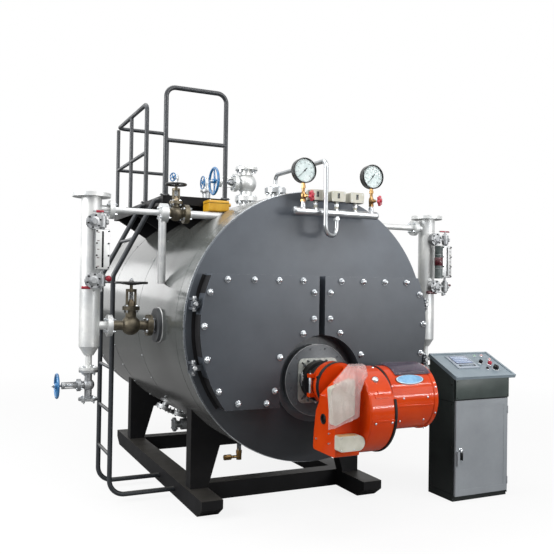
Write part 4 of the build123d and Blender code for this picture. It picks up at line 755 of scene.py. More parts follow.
for name, top in valveTops.items():
    piece = bmesh.new()
    place = standing(top["at"], top["axis"])
    g, r, stem = top["gland"], top["r"], top["stem"]
    spindle(piece, [(r * 1.15, g - 0.03), (r * 1.15, g - 0.004), (r, g)], place, 6)
    spindle(piece, [(r * 0.8, g - 0.002), (r * 0.7, g + 0.012)], place, 20)
    threads = [(0, g)]
    steps = int((top["end"] - g) / pitch)
    for i in range(steps):
        threads += [(stem + 0.0006, g + i * pitch), (stem + 0.002, g + (i + 0.5) * pitch)]
    turned(piece, threads + [(0, g + steps * pitch)], place, 14, 1)
    finishPiece(name, piece, [castBronze if top["slot"] == "bronze" else castSteel, zincSteel])
print("valve tops fitted")

# burner mounting: dark disc on the collar, slotted square flange, hinge block and bolts
mount = {"z": 0.92, "discR": 0.236, "discBack": -0.072, "discFace": -0.08, "half": 0.145, "corner": 0.038,
         "thick": 0.008, "slotR": 0.106 * sqrt(2) * 0.98, "slotHalf": (0.024, 0.006),
         "studs": (-0.075, -0.03, 0.015, 0.06), "studZ": 0.128}
piece = bmesh.new()
r, plateFace = mount["discR"], mount["discFace"] - mount["thick"]
spindle(piece, [(r, 0), (r, 0.006), (r - 0.003, 0.008)], facingFront((0, mount["discBack"], mount["z"])), 72)
slots = []
for i in range(4):
    a = pi / 4 + i * pi / 2
    centre = (mount["slotR"] * cos(a), mount["slotR"] * sin(a))
    slots.append(roundedOutline(*mount["slotHalf"], 0.0055, centre, a))
slots += [roundedOutline(0.005, 0.012, 0.0045, (-0.118, s * 0.035)) for s in (-1, 1)]
piercedPlate(piece, roundedOutline(mount["half"], mount["half"], mount["corner"]), slots, mount["thick"],
             facingFront((0, mount["discFace"], mount["z"])), 1)
# a bright cast-steel ring on the disc's rim: partly its bare rounded edge, partly a painted highlight
ringTube(piece, facingFront((0, -0.0785, mount["z"])), r - 0.001, 0.0026, 96, 8, 2)
for x in mount["studs"]:
    for s in (-1, 1):
        fasten(piece, boltNut, 0.013, (x, plateFace, mount["z"] + s * mount["studZ"]), turn=x * 40)
block(piece, (-0.140, -0.120, 0.907), (-0.095, -0.086, 0.967), 0.004, 2)
block(piece, (-0.134, -0.128, 0.925), (-0.112, -0.118, 0.949), 0.002, 1)
bar(piece, (-0.128, -0.108, 0.892), (-0.128, -0.108, 0.982), 0.006, None, 14, 2, 0.001)
for x, z in ((-0.126, 0.915), (-0.104, 0.96), (-0.104, 0.914)):
    fasten(piece, boltHead, 0.009, (x, -0.120, z), turn=0.4)
headCircle(piece, (0, plateFace, mount["z"]), 0.142, 4, 0.015)
headCircle(piece, (0, mount["discFace"], mount["z"]), 0.212, 12, 0.009)
made = finishPiece("burner_mount", piece, [collarSlate, galvanised, castSteel])
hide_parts("burner_plate")

# hinged ring: black band behind the head, clamp eyes, silver pin in its sleeve
hingeRing = {"z": 0.92, "bandR": 0.1472, "middleY": -0.345, "pin": (-0.161, -0.283),
             "clamps": (0.35, 1.25, 2.1, -1.2)}
piece = bmesh.new()
r = hingeRing["bandR"]
turned(piece, [(0.1440, 0.328), (r, 0.329), (r + 0.0015, 0.332), (r + 0.0015, 0.358), (r, 0.361),
               (0.1440, 0.362)],
       facingFront((0, 0, hingeRing["z"])), 64, closed=True)
for low, high, pinR, segments in ((0.852, 0.988, 0.0108, 18), (0.843, 0.998, 0.006, 14)):
    bar(piece, (*hingeRing["pin"], low), (*hingeRing["pin"], high), pinR, None, segments, 1, 0.001)
fasten(piece, boltHead, 0.016, (*hingeRing["pin"], 0.998), (0, 0, 1))
for a in hingeRing["clamps"]:
    out = Vector((sin(a), 0, cos(a)))
    spot = Vector((0, hingeRing["middleY"], hingeRing["z"])) + out * (r + 0.001)
    block(piece, (-0.010, -0.012, -0.004), (0.010, 0.012, 0.007), 0.003, 0, standing(spot, out))
    fasten(piece, boltHead, 0.011, spot + out * 0.006, out, a)
finishPiece("burner_hinge_ring", piece, [heatBlack, zincSteel])

# burner head: sight port, and the screws of the lids
port = {"at": (-0.145, -0.429, 0.735), "r": 0.028}
piece = bmesh.new()
place, r = standing(port["at"], (-1, 0, 0)), port["r"]
turned(piece, [(r - 0.004, -0.004), (r + 0.003, -0.001), (r + 0.004, 0.004), (r, 0.006), (r - 0.005, 0.002)],
       place, 36, closed=True)
spindle(piece, [(r - 0.002, -0.006), (r - 0.002, -0.003), (0.010, -0.002), (0.008, 0.001)], place, 28, 1)
finishPiece("burner_sight_port", piece, [rubber, phenolic])
# place along X, degrees round from the top, size across flats
drumScrews = [(scrollDrum, 0.100, 41.0, 0.034), (scrollDrum, 0.16, 12.0, 0.013),
              (scrollDrum, 0.055, 100.0, 0.012), (scrollDrum, 0.17, 100.0, 0.012)]
drumScrews += [(intakeDrum, x, angle, 0.011) for angle in (84.0, 128.0) for x in (0.292, 0.47)]
piece = bmesh.new()
for drum, x, angle, flats in drumScrews:
    a = radians(angle)
    out = Vector((0, -sin(a), cos(a)))
    spot = Vector((x, drum["y"], drum["z"])) + out * (drum["r"] - 0.0005)
    turned(piece, [(0.62, -0.4), (0.62, 0.22), (0.5, 0.42), (0.3, 0.52), (0, 0.56)],
           standing(spot, out) @ Matrix.Scale(flats, 4), 20)
for y, z in ((-0.50, 0.60), (-0.50, 0.66), (-0.345, 0.60), (-0.33, 0.82), (-0.52, 0.82)):
    fasten(piece, boltHead, 0.010, (-0.1445, y, z), (-1, 0, 0), y * 9)
finishPiece("burner_screws", piece, [zincSteel])

# raised latch lug, rib and cast seams on the drums: from and to along X, from and to in degrees, rise
drumRibs = [(scrollDrum, 0.060, 0.150, 63.0, 67.5, 0.004), (scrollDrum, 0.085, 0.125, 58.0, 63.0, 0.007),
            (intakeDrum, 0.215, 0.530, 96.0, 98.0, 0.0035), (scrollDrum, 0.03, 0.19, 96.0, 98.0, 0.0035)]
piece = bmesh.new()
for drum, start, end, low, high, rise in drumRibs:
    shape = flatGrid(4, 6, end - start, radians(high - low) * drum["r"], -0.001)
    raiseFaces(shape, shape.faces[:], rise + 0.001)
    wrapRound(shape, drum, start, radians(low))
    joinInto(piece, shape)
finishPiece("burner_ribs", piece, [burnerRed])

# dark joint between scroll and intake, rubber lip round the scroll's lower edge
piece = bmesh.new()
turned(piece, [(0.196, 0.2005), (0.2012, 0.2005), (0.2012, 0.212), (0.196, 0.212)],
       standing((0, intakeDrum["y"], intakeDrum["z"]), (1, 0, 0)), 72, closed=True)
turned(piece, [(-0.255, 0.186), (-0.2665, 0.186), (-0.2685, 0.190), (-0.2685, 0.198), (-0.2665, 0.202),
               (-0.255, 0.202)],
       Matrix.Translation((0, scrollDrum["y"], scrollDrum["z"])) @ Matrix.Rotation(pi / 2, 4, "Y")
       @ Matrix.Rotation(radians(-100), 4, "Z"), 48, 0, radians(-190), closed=True)
finishPiece("burner_seals", piece, [rubber])

# smoked hood over the intake, with a plain blue oval plate under its front edge
hood = {"r": 0.2035, "from": 0.272, "to": 0.540, "front": 41.0, "back": -62.0, "wall": 0.005, "crown": 0.010,
        "corner": 0.03, "cornerDrop": 0.002, "gap": 0.0015}
wide, tall = hood["to"] - hood["from"], radians(hood["front"] - hood["back"]) * hood["r"]
shape = flatGrid(12, 40, wide, tall)
for v in shape.verts:
    inX, inY = min(v.co.x, wide - v.co.x), min(v.co.y, tall - v.co.y)
    corner = hypot(max(0, hood["corner"] - inX), max(0, hood["corner"] - inY)) / hood["corner"]
    v.co.z = hood["crown"] * (1 - exp(-min(inX, inY) / hood["crown"])) + hood["gap"]
    v.co.z -= hood["cornerDrop"] * min(1.0, corner)
raiseFaces(shape, shape.faces[:], hood["wall"])
wrapRound(shape, {**intakeDrum, "r": hood["r"]}, hood["from"], radians(hood["back"]))
piece = bmesh.new()
joinInto(piece, shape)
finishPiece("burner_hood", piece, [smokedCover])
# three ovals on each other: share of the full size, low and high face
oval = {"x": 0.364, "fromTop": 50.5, "half": (0.104, 0.034), "drumR": 0.2005,
        "layers": ((1.0, 0.0, 0.0040), (0.955, 0.004, 0.0048), (0.90, 0.0048, 0.0056))}
piece = bmesh.new()
for material, (grow, low, high) in enumerate(oval["layers"]):
    shape = bmesh.new()
    turned(shape, [(0, high)] + [(s, high) for s in (0.2, 0.4, 0.6, 0.8, 0.97)]
           + [(1.0, high - 0.0004), (1.0, low), (0.5, low), (0, low)],
           Matrix.Diagonal((oval["half"][0] * grow, oval["half"][1] * grow, 1, 1)), 48)
    wrapRound(shape, {**intakeDrum, "r": oval["drumR"]}, oval["x"], radians(oval["fromTop"]))
    joinInto(piece, shape, Matrix(), material)
finishPiece("burner_plain_plate", piece, [phenolic, filmedWhite, plateBlue])

# intake's far end: guard rings on spokes; bright rim screws
guard = {"x": 0.545, "rings": (0.035, 0.065, 0.095, 0.125, 0.155, 0.185), "screwX": 0.532, "screwR": 0.2065}
piece = bmesh.new()
end = standing((guard["x"], intakeDrum["y"], intakeDrum["z"]), (1, 0, 0))
for r in guard["rings"]:
    ringTube(piece, end, r, 0.0024, 48, 8)
spokes(piece, end, 6, (0.02, 0.002), (0.197, 0.002), 0.0028, None, 8)
turned(piece, [(0, -0.004), (0.022, -0.004), (0.022, 0.004), (0.018, 0.008), (0, 0.009)], end, 24)
for i in range(8):
    a = 2 * pi * (i + 0.5) / 8
    out = Vector((0, cos(a), sin(a)))
    spot = Vector((guard["screwX"], intakeDrum["y"], intakeDrum["z"])) + out * guard["screwR"]
    fasten(piece, boltHead, 0.010, spot, out, a)
finishPiece("burner_intake_guard", piece, [zincSteel])

# servo box: tan gasket on top, four lid screws
servo = {"gasket": ((-0.149, -0.636, 0.6675), (-0.030, -0.580, 0.6705)), "front": -0.640,
         "screwX": (-0.141, -0.055), "screwZ": (0.588, 0.658)}
piece = bmesh.new()
block(piece, *servo["gasket"], 0.001)
for x in servo["screwX"]:
    for z in servo["screwZ"]:
        spindle(piece, [(0.0042, -0.001), (0.0042, 0.0012), (0.003, 0.002)],
                facingFront((x, servo["front"], z)), 14, 2)
finishPiece("burner_servo_trim", piece, [tanGasket, phenolic, zincSteel])
print("burner dressed")

# packing film thrown over the burner's panel: a crumpled sheet of thin polyethylene
film = {"wide": 0.25, "long": 0.475, "across": 48, "along": 90, "thin": 0.0004, "creases": 14,
        "gathered": 0.55, "narrowing": 0.904, "lift": 0.004, "edgeDroop": 1.6,
        "line": [(0.060, -0.455, 1.060), (0.010, -0.540, 1.056), (-0.040, -0.602, 1.022),
                 (-0.085, -0.640, 0.975), (-0.108, -0.641, 0.90), (-0.112, -0.640, 0.81),
                 (-0.110, -0.637, 0.738)]}
runs = [Vector(p) for p in film["line"]]
lengths = [0.0]
for near, far in zip(runs, runs[1:]):
    lengths.append(lengths[-1] + (far - near).length)


# the point and direction at a share of the film's middle line, smoothed through its corners
def along(share):
    place = share * lengths[-1]
    spots = []
    for shift in (-0.03, -0.015, 0, 0.015, 0.03):
        p = min(max(place + shift, 0), lengths[-1])
        i = max(k for k in range(len(runs) - 1) if lengths[k] <= p)
        spots.append(runs[i].lerp(runs[i + 1], (p - lengths[i]) / (lengths[i + 1] - lengths[i])))
    return sum(spots, Vector()) / len(spots), (spots[-1] - spots[0]).normalized()


# each crease: direction across the film, waves per metre, start, height
creases = [(draw.uniform(-0.7, 0.7), draw.uniform(30, 120), draw.uniform(0, 6.28), draw.uniform(0.0006, 0.0022))
           for i in range(film["creases"])]
shape = bmesh.new()
bmesh.ops.create_grid(shape, x_segments=film["across"], y_segments=film["along"], size=0.5)
for v in shape.verts:
    across, share = v.co.x, v.co.y + 0.5
    middle, onward = along(share)
    pull = film["gathered"] + (1 - film["gathered"]) * min(1.0, share / 0.35)
    side = across * film["wide"] * pull
    outward = Vector((0, onward.z, -onward.y))
    if outward.y > 0 or outward.z < -0.1:
        outward.negate()
    outward.normalize()
    ripple = sum(h * sin(f * (cos(a) * side + sin(a) * share * lengths[-1]) + p) for a, f, p, h in creases)
    ripple += 0.004 * (1 - pull) * sin(across * 40)
    droop = max(0.0, abs(across) - 0.33)
    spot = middle + Vector((side * film["narrowing"], 0, 0)) + outward * (film["lift"] + abs(ripple))
    spot -= outward * droop * droop * film["edgeDroop"]
    spot.z += across * 0.075 * min(1.0, max(0.0, share - 0.4) * 2.5)
    if share > 0.45:
        spot.y = min(spot.y, -0.6275 + max(0.0, spot.x + 0.045) * 1.1)
    v.co = spot
piece = bmesh.new()
joinInto(piece, shape)
made = finishPiece("burner_film", piece, [packingFilm], crease=70)
thicken = made.modifiers.new("thin", "SOLIDIFY")
thicken.thickness, thicken.offset = film["thin"], 1.0
print("film draped")


# a plain number laid flat on a dial
def printNumber(piece, text, height, matrix, material):
    curve = bpy.data.curves.new("number", "FONT")
    curve.body, curve.size, curve.align_x, curve.align_y = text, height, "CENTER", "CENTER"
    curve.extrude = 0.0002
    holder = bpy.data.objects.new("number", curve)
    scene.collection.objects.link(holder)
    bpy.context.view_layer.update()
    mesh = bpy.data.meshes.new_from_object(holder)
    shape = bmesh.new()
    shape.from_mesh(mesh)
    bpy.data.objects.remove(holder)
    bpy.data.curves.remove(curve)
    bpy.data.meshes.remove(mesh)
    joinInto(piece, shape, matrix, material)


# pressure gauges: black case, printed dial, needle at rest, glass, brass cock with a red lobed knob
gauges = {"places": (("gauge_left", -0.15, 226.0), ("gauge_right", 0.368, 231.0)), "z": 2.284, "back": -0.104,
          "r": 0.082, "dialR": 0.0745, "tickR": 0.069, "numberR": 0.050, "numberTall": 0.013, "from": 225.0,
          "sweep": 270.0, "majors": 9, "minors": 5, "cockZ": 2.120, "cockTowards": (0.6, -0.8, 0),
          "knobOut": 0.053, "knobR": 0.036, "lobes": 6, "lobeDeep": 0.0045}
for name, x, needle in gauges["places"]:
    piece = bmesh.new()
    front = facingFront((x, gauges["back"], gauges["z"]))
    r, d, tickR = gauges["r"], gauges["dialR"], gauges["tickR"]
    spindle(piece, [(0.074, 0), (0.0805, 0.005), (0.0805, 0.040), (r, 0.042), (r, 0.049), (0.0795, 0.052),
                    (0.0765, 0.0515), (d, 0.047), (d, 0.038)], front, 72)
    spindle(piece, [(d - 0.0005, 0.0385), (d - 0.0005, 0.042)], front, 64, 1)
    steps = (gauges["majors"] - 1) * gauges["minors"]
    for i in range(steps + 1):
        major = i % gauges["minors"] == 0
        a = radians(gauges["from"] - gauges["sweep"] * i / steps)
        long, wide = (0.010, 0.0012) if major else (0.005, 0.0006)
        block(piece, (tickR - long, -wide, 0.0418), (tickR, wide, 0.0424), 0, 2,
              front @ Matrix.Rotation(a, 4, "Z"))
        if major:
            spot = Matrix.Translation((gauges["numberR"] * cos(a), gauges["numberR"] * sin(a), 0.0421))
            printNumber(piece, str(2 * i // gauges["minors"]), gauges["numberTall"], front @ spot, 2)
    ringTube(piece, front @ Matrix.Translation((0, 0, 0.0421)), 0.0695, 0.0004, 64, 6, 2)
    point = front @ Matrix.Rotation(radians(needle), 4, "Z") @ Matrix.Translation((0, 0, 0.0435))
    plate(piece, [(-0.022, -0.0030), (-0.022, 0.0030), (0, 0.0022), (0.060, 0.0005), (0.060, -0.0005),
                  (0, -0.0022)],
          0.0008, point, 0, 2)
    spindle(piece, [(0.0058, -0.0015), (0.0058, 0.0014), (0.004, 0.0026)], point, 20, 2)
    spindle(piece, [(d - 0.0002, 0.0475), (d - 0.0002, 0.0487)], front, 64, 3)
    up = standing((x, boiler["pipeY"], 0))
    spindle(piece, [(0.017, 2.042), (0.017, 2.072), (0.0145, 2.078), (0.0145, 2.086)], up, 24, 4)
    spindle(piece, [(0.0185, 2.083), (0.0185, 2.098)], up, 6, 5)
    spindle(piece, [(0.0125, 2.096), (0.0165, 2.104), (0.0175, 2.120), (0.0165, 2.136), (0.0125, 2.144),
                    (0.0105, 2.150), (0.0105, 2.176)], up, 28, 5)
    spindle(piece, [(0.0165, 2.172), (0.0165, 2.188), (0.0135, 2.191), (0.0135, 2.206)], up, 6, 5)
    side = standing((x, boiler["pipeY"], gauges["cockZ"]), gauges["cockTowards"])
    spindle(piece, [(0.0125, 0), (0.0125, 0.024), (0.0095, 0.026), (0.0095, 0.034)], side, 6, 5)
    bar(piece, side @ Vector((0, 0, 0.03)), side @ Vector((0, 0, 0.066)), 0.005, None, 14, 4)
    outline = []
    for i in range(72):
        a = 2 * pi * i / 72
        reach = gauges["knobR"] + gauges["lobeDeep"] * (cos(gauges["lobes"] * a) - 1)
        outline.append((reach * cos(a), reach * sin(a)))
    knob = side @ Matrix.Translation((0, 0, gauges["knobOut"]))
    plate(piece, outline, 0.016, knob, 0.004, 6)
    spindle(piece, [(0.013, 0.014), (0.012, 0.022), (0.007, 0.024)], knob, 24, 6)
    spindle(piece, [(0.005, 0.022), (0.005, 0.027)], knob, 12, 4)
    made = finishPiece(name + "_dressed", piece,
                       [phenolic, dialWhite, printBlack, gaugeGlass, zincSteel, brass, knobRed])
    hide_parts(name)
print("gauges printed")

# pressure switches: dark window with its scale, lid seam, base plate, neck nuts and cable glands
switches = {"x": (-0.060, 0.097, 0.240), "front": -0.160, "low": 2.097, "high": 2.165, "marks": 7,
            "markPitch": 0.0045}
f, low, high = switches["front"], switches["low"], switches["high"]
piece = bmesh.new()
for x in switches["x"]:
    block(piece, (x - 0.0085, f - 0.0012, low + 0.021), (x + 0.0085, f + 0.003, high - 0.012), 0.001)
    for i in range(switches["marks"]):
        z, end = low + 0.025 + i * switches["markPitch"], x - (0.001 if i % 3 else -0.001)
        block(piece, (x - 0.006, f - 0.0016, z), (end, f - 0.001, z + 0.0008), 0, 1)
    block(piece, (x + 0.0025, f - 0.0018, low + 0.034), (x + 0.0065, f - 0.001, low + 0.0355), 0, 3)
    block(piece, (x - 0.049, f + 0.003, low - 0.0025), (x + 0.049, -0.097, low + 0.001), 0.001)
    block(piece, (x - 0.0526, f + 0.022, low + 0.006), (x + 0.0526, f + 0.0235, high - 0.006))
    spindle(piece, [(0.0165, low - 0.030), (0.0165, low - 0.016), (0.0135, low - 0.014),
                    (0.0135, low - 0.002)], standing((x, boiler["pipeY"], 0)), 6, 2)
    for z in (high - 0.011, low + 0.011):
        for sx in (-0.041, 0.041):
            spindle(piece, [(0.0036, -0.001), (0.0036, 0.0008), (0.0024, 0.0016)],
                    facingFront((x + sx, f, z)), 12, 2)
    spindle(piece, [(0.010, 0), (0.010, 0.010), (0.0075, 0.013), (0.0075, 0.020)],
            standing((x + 0.02, -0.0945, low + 0.034), (0, 1, 0)), 12)
finishPiece("pressure_switch_trim", piece, [phenolic, dialWhite, zincSteel, redVinyl])

# manifold: end caps, welded stubs under each instrument, hex unions on the gauge pipe
manifold = {"z": 2.022, "caps": ((-0.205, -1), (0.400, 1)), "stubs": (-0.150, -0.060, 0.097, 0.240, 0.368),
            "unions": ((0.10, -0.13, 1.985), (0.0, 0.62, 2.286))}
piece = bmesh.new()
for x, out in manifold["caps"]:
    turned(piece, [(0, -0.004), (0.0272, -0.004), (0.0272, 0.008), (0.022, 0.016), (0.010, 0.020),
                   (0, 0.0205)],
           standing((x, boiler["pipeY"], manifold["z"]), (out, 0, 0)), 28)
for x in manifold["stubs"]:
    turned(piece, [(0.0265, 2.026), (0.0205, 2.046), (0.0175, 2.050), (0.012, 2.050), (0.012, 2.026)],
           standing((x, boiler["pipeY"], 0)), 24, closed=True)
for spot in manifold["unions"]:
    turned(piece, [(0.0148, -0.012), (0.0215, -0.012), (0.0225, -0.010), (0.0225, 0.004), (0.0215, 0.006),
                   (0.0185, 0.006), (0.0185, 0.014), (0.0148, 0.014)], standing(spot), 6, closed=True)
finishPiece("manifold_fittings", piece, [stainless])
print("instruments fitted")

# level gauges: scale plate with its black level line, union nuts, flange bolts, red and black sleeves;
# a sleeve is two (x, z) ends, radius and material, and the lever's ball is x, z, radius and material
levelGauges = {
    "level_gauge_left_trim": {
        "x": -1.370, "out": 0.054, "tickSide": -1, "ticks": 5, "float": False,
        "ball": (-1.272, 1.566, 0.022, 1),
        "sleeves": [((-1.357, 2.002), (-1.308, 2.002), 0.0085, 1),
                    ((-1.441, 1.506), (-1.385, 1.506), 0.0095, 1)]},
    "level_gauge_right_trim": {
        "x": 1.360, "out": 0.102, "tickSide": 1, "ticks": 9, "float": True, "ball": (1.492, 1.560, 0.009, 2),
        "sleeves": [((1.405, 2.002), (1.503, 2.002), 0.0065, 1), ((1.285, 1.504), (1.380, 1.504), 0.0125, 2),
                    ((1.462, 1.557), (1.520, 1.565), 0.0100, 2)]},
}
glass = {"y": 0.4515, "face": 0.4245, "low": 1.625, "high": 1.885, "cocks": (1.935, 1.553),
         "tickHalf": 0.0022, "floatR": 0.0335}
y, face, low, high = glass["y"], glass["face"], glass["low"], glass["high"]
for name, gauge in levelGauges.items():
    piece = bmesh.new()
    x, side = gauge["x"] + gauge["out"], gauge["tickSide"]
    block(piece, (x - 0.044, face - 0.003, low + 0.003), (x + 0.044, face + 0.001, high - 0.003), 0.002, 3)
    block(piece, (x - 0.0062, face - 0.0045, low + 0.014), (x + 0.0062, face - 0.002, high - 0.012), 0.001)
    near, far = sorted((x + side * 0.022, x + side * 0.036))
    for i in range(gauge["ticks"]):
        z = low + 0.020 + (high - low - 0.04) * i / (gauge["ticks"] - 1)
        block(piece, (near, face - 0.0036, z - glass["tickHalf"]),
              (far, face - 0.0026, z + glass["tickHalf"]), 0, 2)
    for sx in (-0.038, 0.038):
        for i in range(4):
            z = low + 0.012 + (high - low - 0.024) * i / 3
            fasten(piece, boltHead, 0.0095, (x + sx, face - 0.003, z), turn=i)
    for z in glass["cocks"]:
        for end in (-1, 1):
            spindle(piece, [(0.019, 0.032), (0.019, 0.046), (0.0152, 0.050)],
                    standing((x, y, z), (0, 0, end)), 6, 4)
        spindle(piece, [(0.017, 0), (0.017, 0.012), (0.013, 0.015)], standing((x + 0.026, y, z), (1, 0, 0)),
                6, 4)
        spindle(piece, [(0.034, 0.018), (0.032, 0.026), (0.020, 0.030), (0.018, 0.036)],
                facingFront((gauge["x"], y, z)), 28, 4)
        boltCircle(piece, (gauge["x"], y - 0.022, z), (0, -1, 0), 0.040, 6, 0.044, 0.010, 0.3)
    for start, end, r, material in gauge["sleeves"]:
        bar(piece, (start[0], y, start[1]), (end[0], y, end[1]), r, None, 20, material, 0.003)
    ballX, ballZ, r, material = gauge["ball"]
    turned(piece, [(0, -r), (r * 0.5, -r * 0.87), (r * 0.87, -r * 0.5), (r, 0), (r * 0.87, r * 0.5),
                   (r * 0.5, r * 0.87), (0, r)], standing((ballX, y - 0.004, ballZ), (1, 0, 0)), 24, material)
    bar(piece, (x + 0.02, y, glass["cocks"][1]), (ballX, y - 0.004, ballZ), 0.007, None, 14, 4)
    if gauge["float"]:
        r = glass["floatR"]
        up = standing((x - 0.073, y - 0.014, 0))
        spindle(piece, [(r, 1.618), (r, 1.632), (r - 0.0007, 1.634), (r - 0.0007, 1.865), (r, 1.867),
                        (r, 1.8835)], up, 36, 5)
        turned(piece, [(0.0330, 1.722), (0.0345, 1.724), (0.0345, 1.786), (0.0330, 1.788)], up, 36, 2,
               closed=True)
        for z in (1.70, 1.81):
            ringTube(piece, up @ Matrix.Translation((0, 0, z)), r, 0.0016, 36, 8, 4)
        bar(piece, (x - 0.02, y - 0.002, 1.478), (x - 0.02, y - 0.002, 1.508), 0.010, None, 18, 4, 0.002)
    finishPiece(name, piece, [phenolic, redVinyl, darkMaroon, silverPaint, castSteel, floatGrey])
print("level gauges dressed")

# control cabinet's sloping panel: display, keys, knobs and lamps, placed by shares of its width and depth
desk = {"at": (1.385, 0.028, 0.9465), "slope": 23.7, "wide": 0.560, "deep": 0.356, "floor": 0.020, "keys": 7,
        "knobs": ((0.66, 0.54, 0.015, 0.026, 1), (0.79, 0.48, 0.017, 0.024, 5), (0.79, 0.28, 0.022, 0.030, 1),
                  (0.66, 0.30, 0.012, 0.012, 1)),
        "lamps": ((0.82, 0.83, 7), (0.70, 0.83, 8), (0.88, 0.66, 7)), "screws": (0.268, 0.165)}
onDesk = Matrix.Translation(desk["at"]) @ Matrix.Rotation(radians(desk["slope"]), 4, "X")


def deskSpot(u, v):
    return (u - 0.5) * desk["wide"], (v - 0.5) * desk["deep"]


piece = bmesh.new()
block(piece, (*deskSpot(0.20, 0.35), desk["floor"] - 0.001), (*deskSpot(0.56, 0.86), 0.0275), 0.0025, 0,
      onDesk)
(x0, y0), (x1, y1) = deskSpot(0.25, 0.53), deskSpot(0.53, 0.83)
block(piece, (x0 - 0.004, y0 - 0.004, 0.027), (x1 + 0.004, y1 + 0.004, 0.0287), 0.0012, 1, onDesk)
block(piece, (x0, y0, 0.0275), (x1, y1, 0.0292), 0.0008, 2, onDesk)
for i in range(4):
    y = y0 + 0.014 + i * 0.024
    block(piece, (x0 + 0.010, y, 0.0290), (x1 - 0.012 - 0.02 * (i % 2), y + 0.007, 0.0294), 0, 3, onDesk)
for i in range(desk["keys"]):
    x, y = deskSpot(0.265 + 0.0405 * i, 0.44)
    material = 1 if i in (0, desk["keys"] - 1) else 4
    block(piece, (x - 0.0085, y - 0.009, 0.0270), (x + 0.0085, y + 0.009, 0.0302), 0.0014, material, onDesk)
for u, v, r, tall, material in desk["knobs"]:
    spot = onDesk @ Matrix.Translation((*deskSpot(u, v), desk["floor"]))
    spindle(piece, [(r * 1.25, 0), (r * 1.25, 0.003), (r * 1.12, 0.005)], spot, 28, 6)
    spindle(piece, [(r * 0.9, 0.004), (r, 0.007), (r * 0.94, tall - 0.002), (r * 0.84, tall)], spot, 28,
            material)
    block(piece, (-r * 0.16, -r * 0.9, tall - 0.002), (r * 0.16, r * 0.9, tall + 0.004), 0.0012, material,
          spot)
for u, v, material in desk["lamps"]:
    spot = onDesk @ Matrix.Translation((*deskSpot(u, v), desk["floor"]))
    spindle(piece, [(0.0145, 0), (0.0145, 0.004), (0.012, 0.006)], spot, 24, 6)
    turned(piece, [(0, 0.005), (0.011, 0.005), (0.0105, 0.010), (0.007, 0.014), (0, 0.0155)], spot, 24,
           material)
for sx in (-1, 1):
    for sy in (-1, 1):
        spot = Matrix.Translation((sx * desk["screws"][0], sy * desk["screws"][1], 0.0255))
        stamp(piece, boltHead, onDesk @ spot @ Matrix.Scale(0.008, 4))
finishPiece("cabinet_instruments", piece,
            [membrane, phenolic, screenBlue, screenText, keyGrey, knobRed, zincSteel, lampPink, lampGreen])


# a low screw head: foot radius, radius where it starts to round, height there and in the middle
def panHead(piece, matrix, r, rim, side, top, segments=14, material=1):
    turned(piece, [(0, 0), (r, 0), (rim, side), (0, top)], matrix, segments, material)


# door: latch and its plate, hinge knuckles
cabinet = {"front": -0.1365, "latchX": 1.158, "latchZ": 0.367, "screwZ": (0.299, 0.381), "hingeX": 1.594,
           "hingeZ": (0.115, 0.640)}
x, front = cabinet["latchX"], cabinet["front"]
piece = bmesh.new()
block(piece, (x - 0.018, front, 0.2930), (x + 0.018, front + 0.003, 0.3860), 0.003, 1)
block(piece, (x - 0.006, front - 0.0135, 0.2980), (x + 0.010, front + 0.0015, 0.3560), 0.004)
spindle(piece, [(0.013, 0.003), (0.012, 0.012), (0.007, 0.014)],
        facingFront((x - 0.002, front, cabinet["latchZ"])), 24, 1)
for z in cabinet["screwZ"]:
    panHead(piece, facingFront((x + 0.012, front, z)), 0.004, 0.0035, 0.002, 0.0025)
for z in cabinet["hingeZ"]:
    bar(piece, (cabinet["hingeX"], -0.1335, z - 0.028), (cabinet["hingeX"], -0.1335, z + 0.028), 0.0058, None,
        16, 2, 0.001)
finishPiece("cabinet_latch", piece, [phenolic, zincSteel, cabinetLight], "cabinet_front")
# dark seams, side screws and levelling feet
seams = {"lid": ((1.109, -0.1352, 0.731), (1.601, -0.1338, 0.7345)), "sideX": (1.1035, 1.1055),
         "sideY": (-0.116, 0.150), "sideZ": (0.050, 0.715), "thick": 0.0035, "screwY": (-0.095, 0.130),
         "screwZ": (0.075, 0.39, 0.70, 0.84), "sides": ((1.105, -1), (1.605, 1)), "footX": (1.135, 1.575),
         "footY": (-0.09, 0.13)}
piece = bmesh.new()
block(piece, *seams["lid"])
(x0, x1), (y0, y1) = seams["sideX"], seams["sideY"]
for z in seams["sideZ"]:
    block(piece, (x0, y0, z), (x1, y1, z + seams["thick"]))
for y in seams["screwY"]:
    for z in seams["screwZ"]:
        for x, out in seams["sides"]:
            fasten(piece, boltHead, 0.009, (x, y, z), (out, 0, 0), z * 7)
for x in seams["footX"]:
    for y in seams["footY"]:
        spindle(piece, [(0.019, 0), (0.019, 0.004), (0.012, 0.006), (0.010, 0.014)], standing((x, y, 0)), 24)
finishPiece("cabinet_seams", piece, [rubber])
# the band under the panel stands a little proud and is a greener grey than the door
fascia = {"low": (1.1065, -0.1368, 0.7365), "high": (1.6035, -0.1338, 0.8795), "screwX": (1.118, 1.592),
          "screwZ": (0.748, 0.868)}
piece = bmesh.new()
block(piece, fascia["low"], fascia["high"], 0.0012)
for x in fascia["screwX"]:
    for z in fascia["screwZ"]:
        panHead(piece, facingFront((x, fascia["low"][1], z)), 0.0042, 0.0036, 0.0016, 0.002)
finishPiece("cabinet_fascia", piece, [fasciaGrey, phenolic])
print("cabinet dressed")

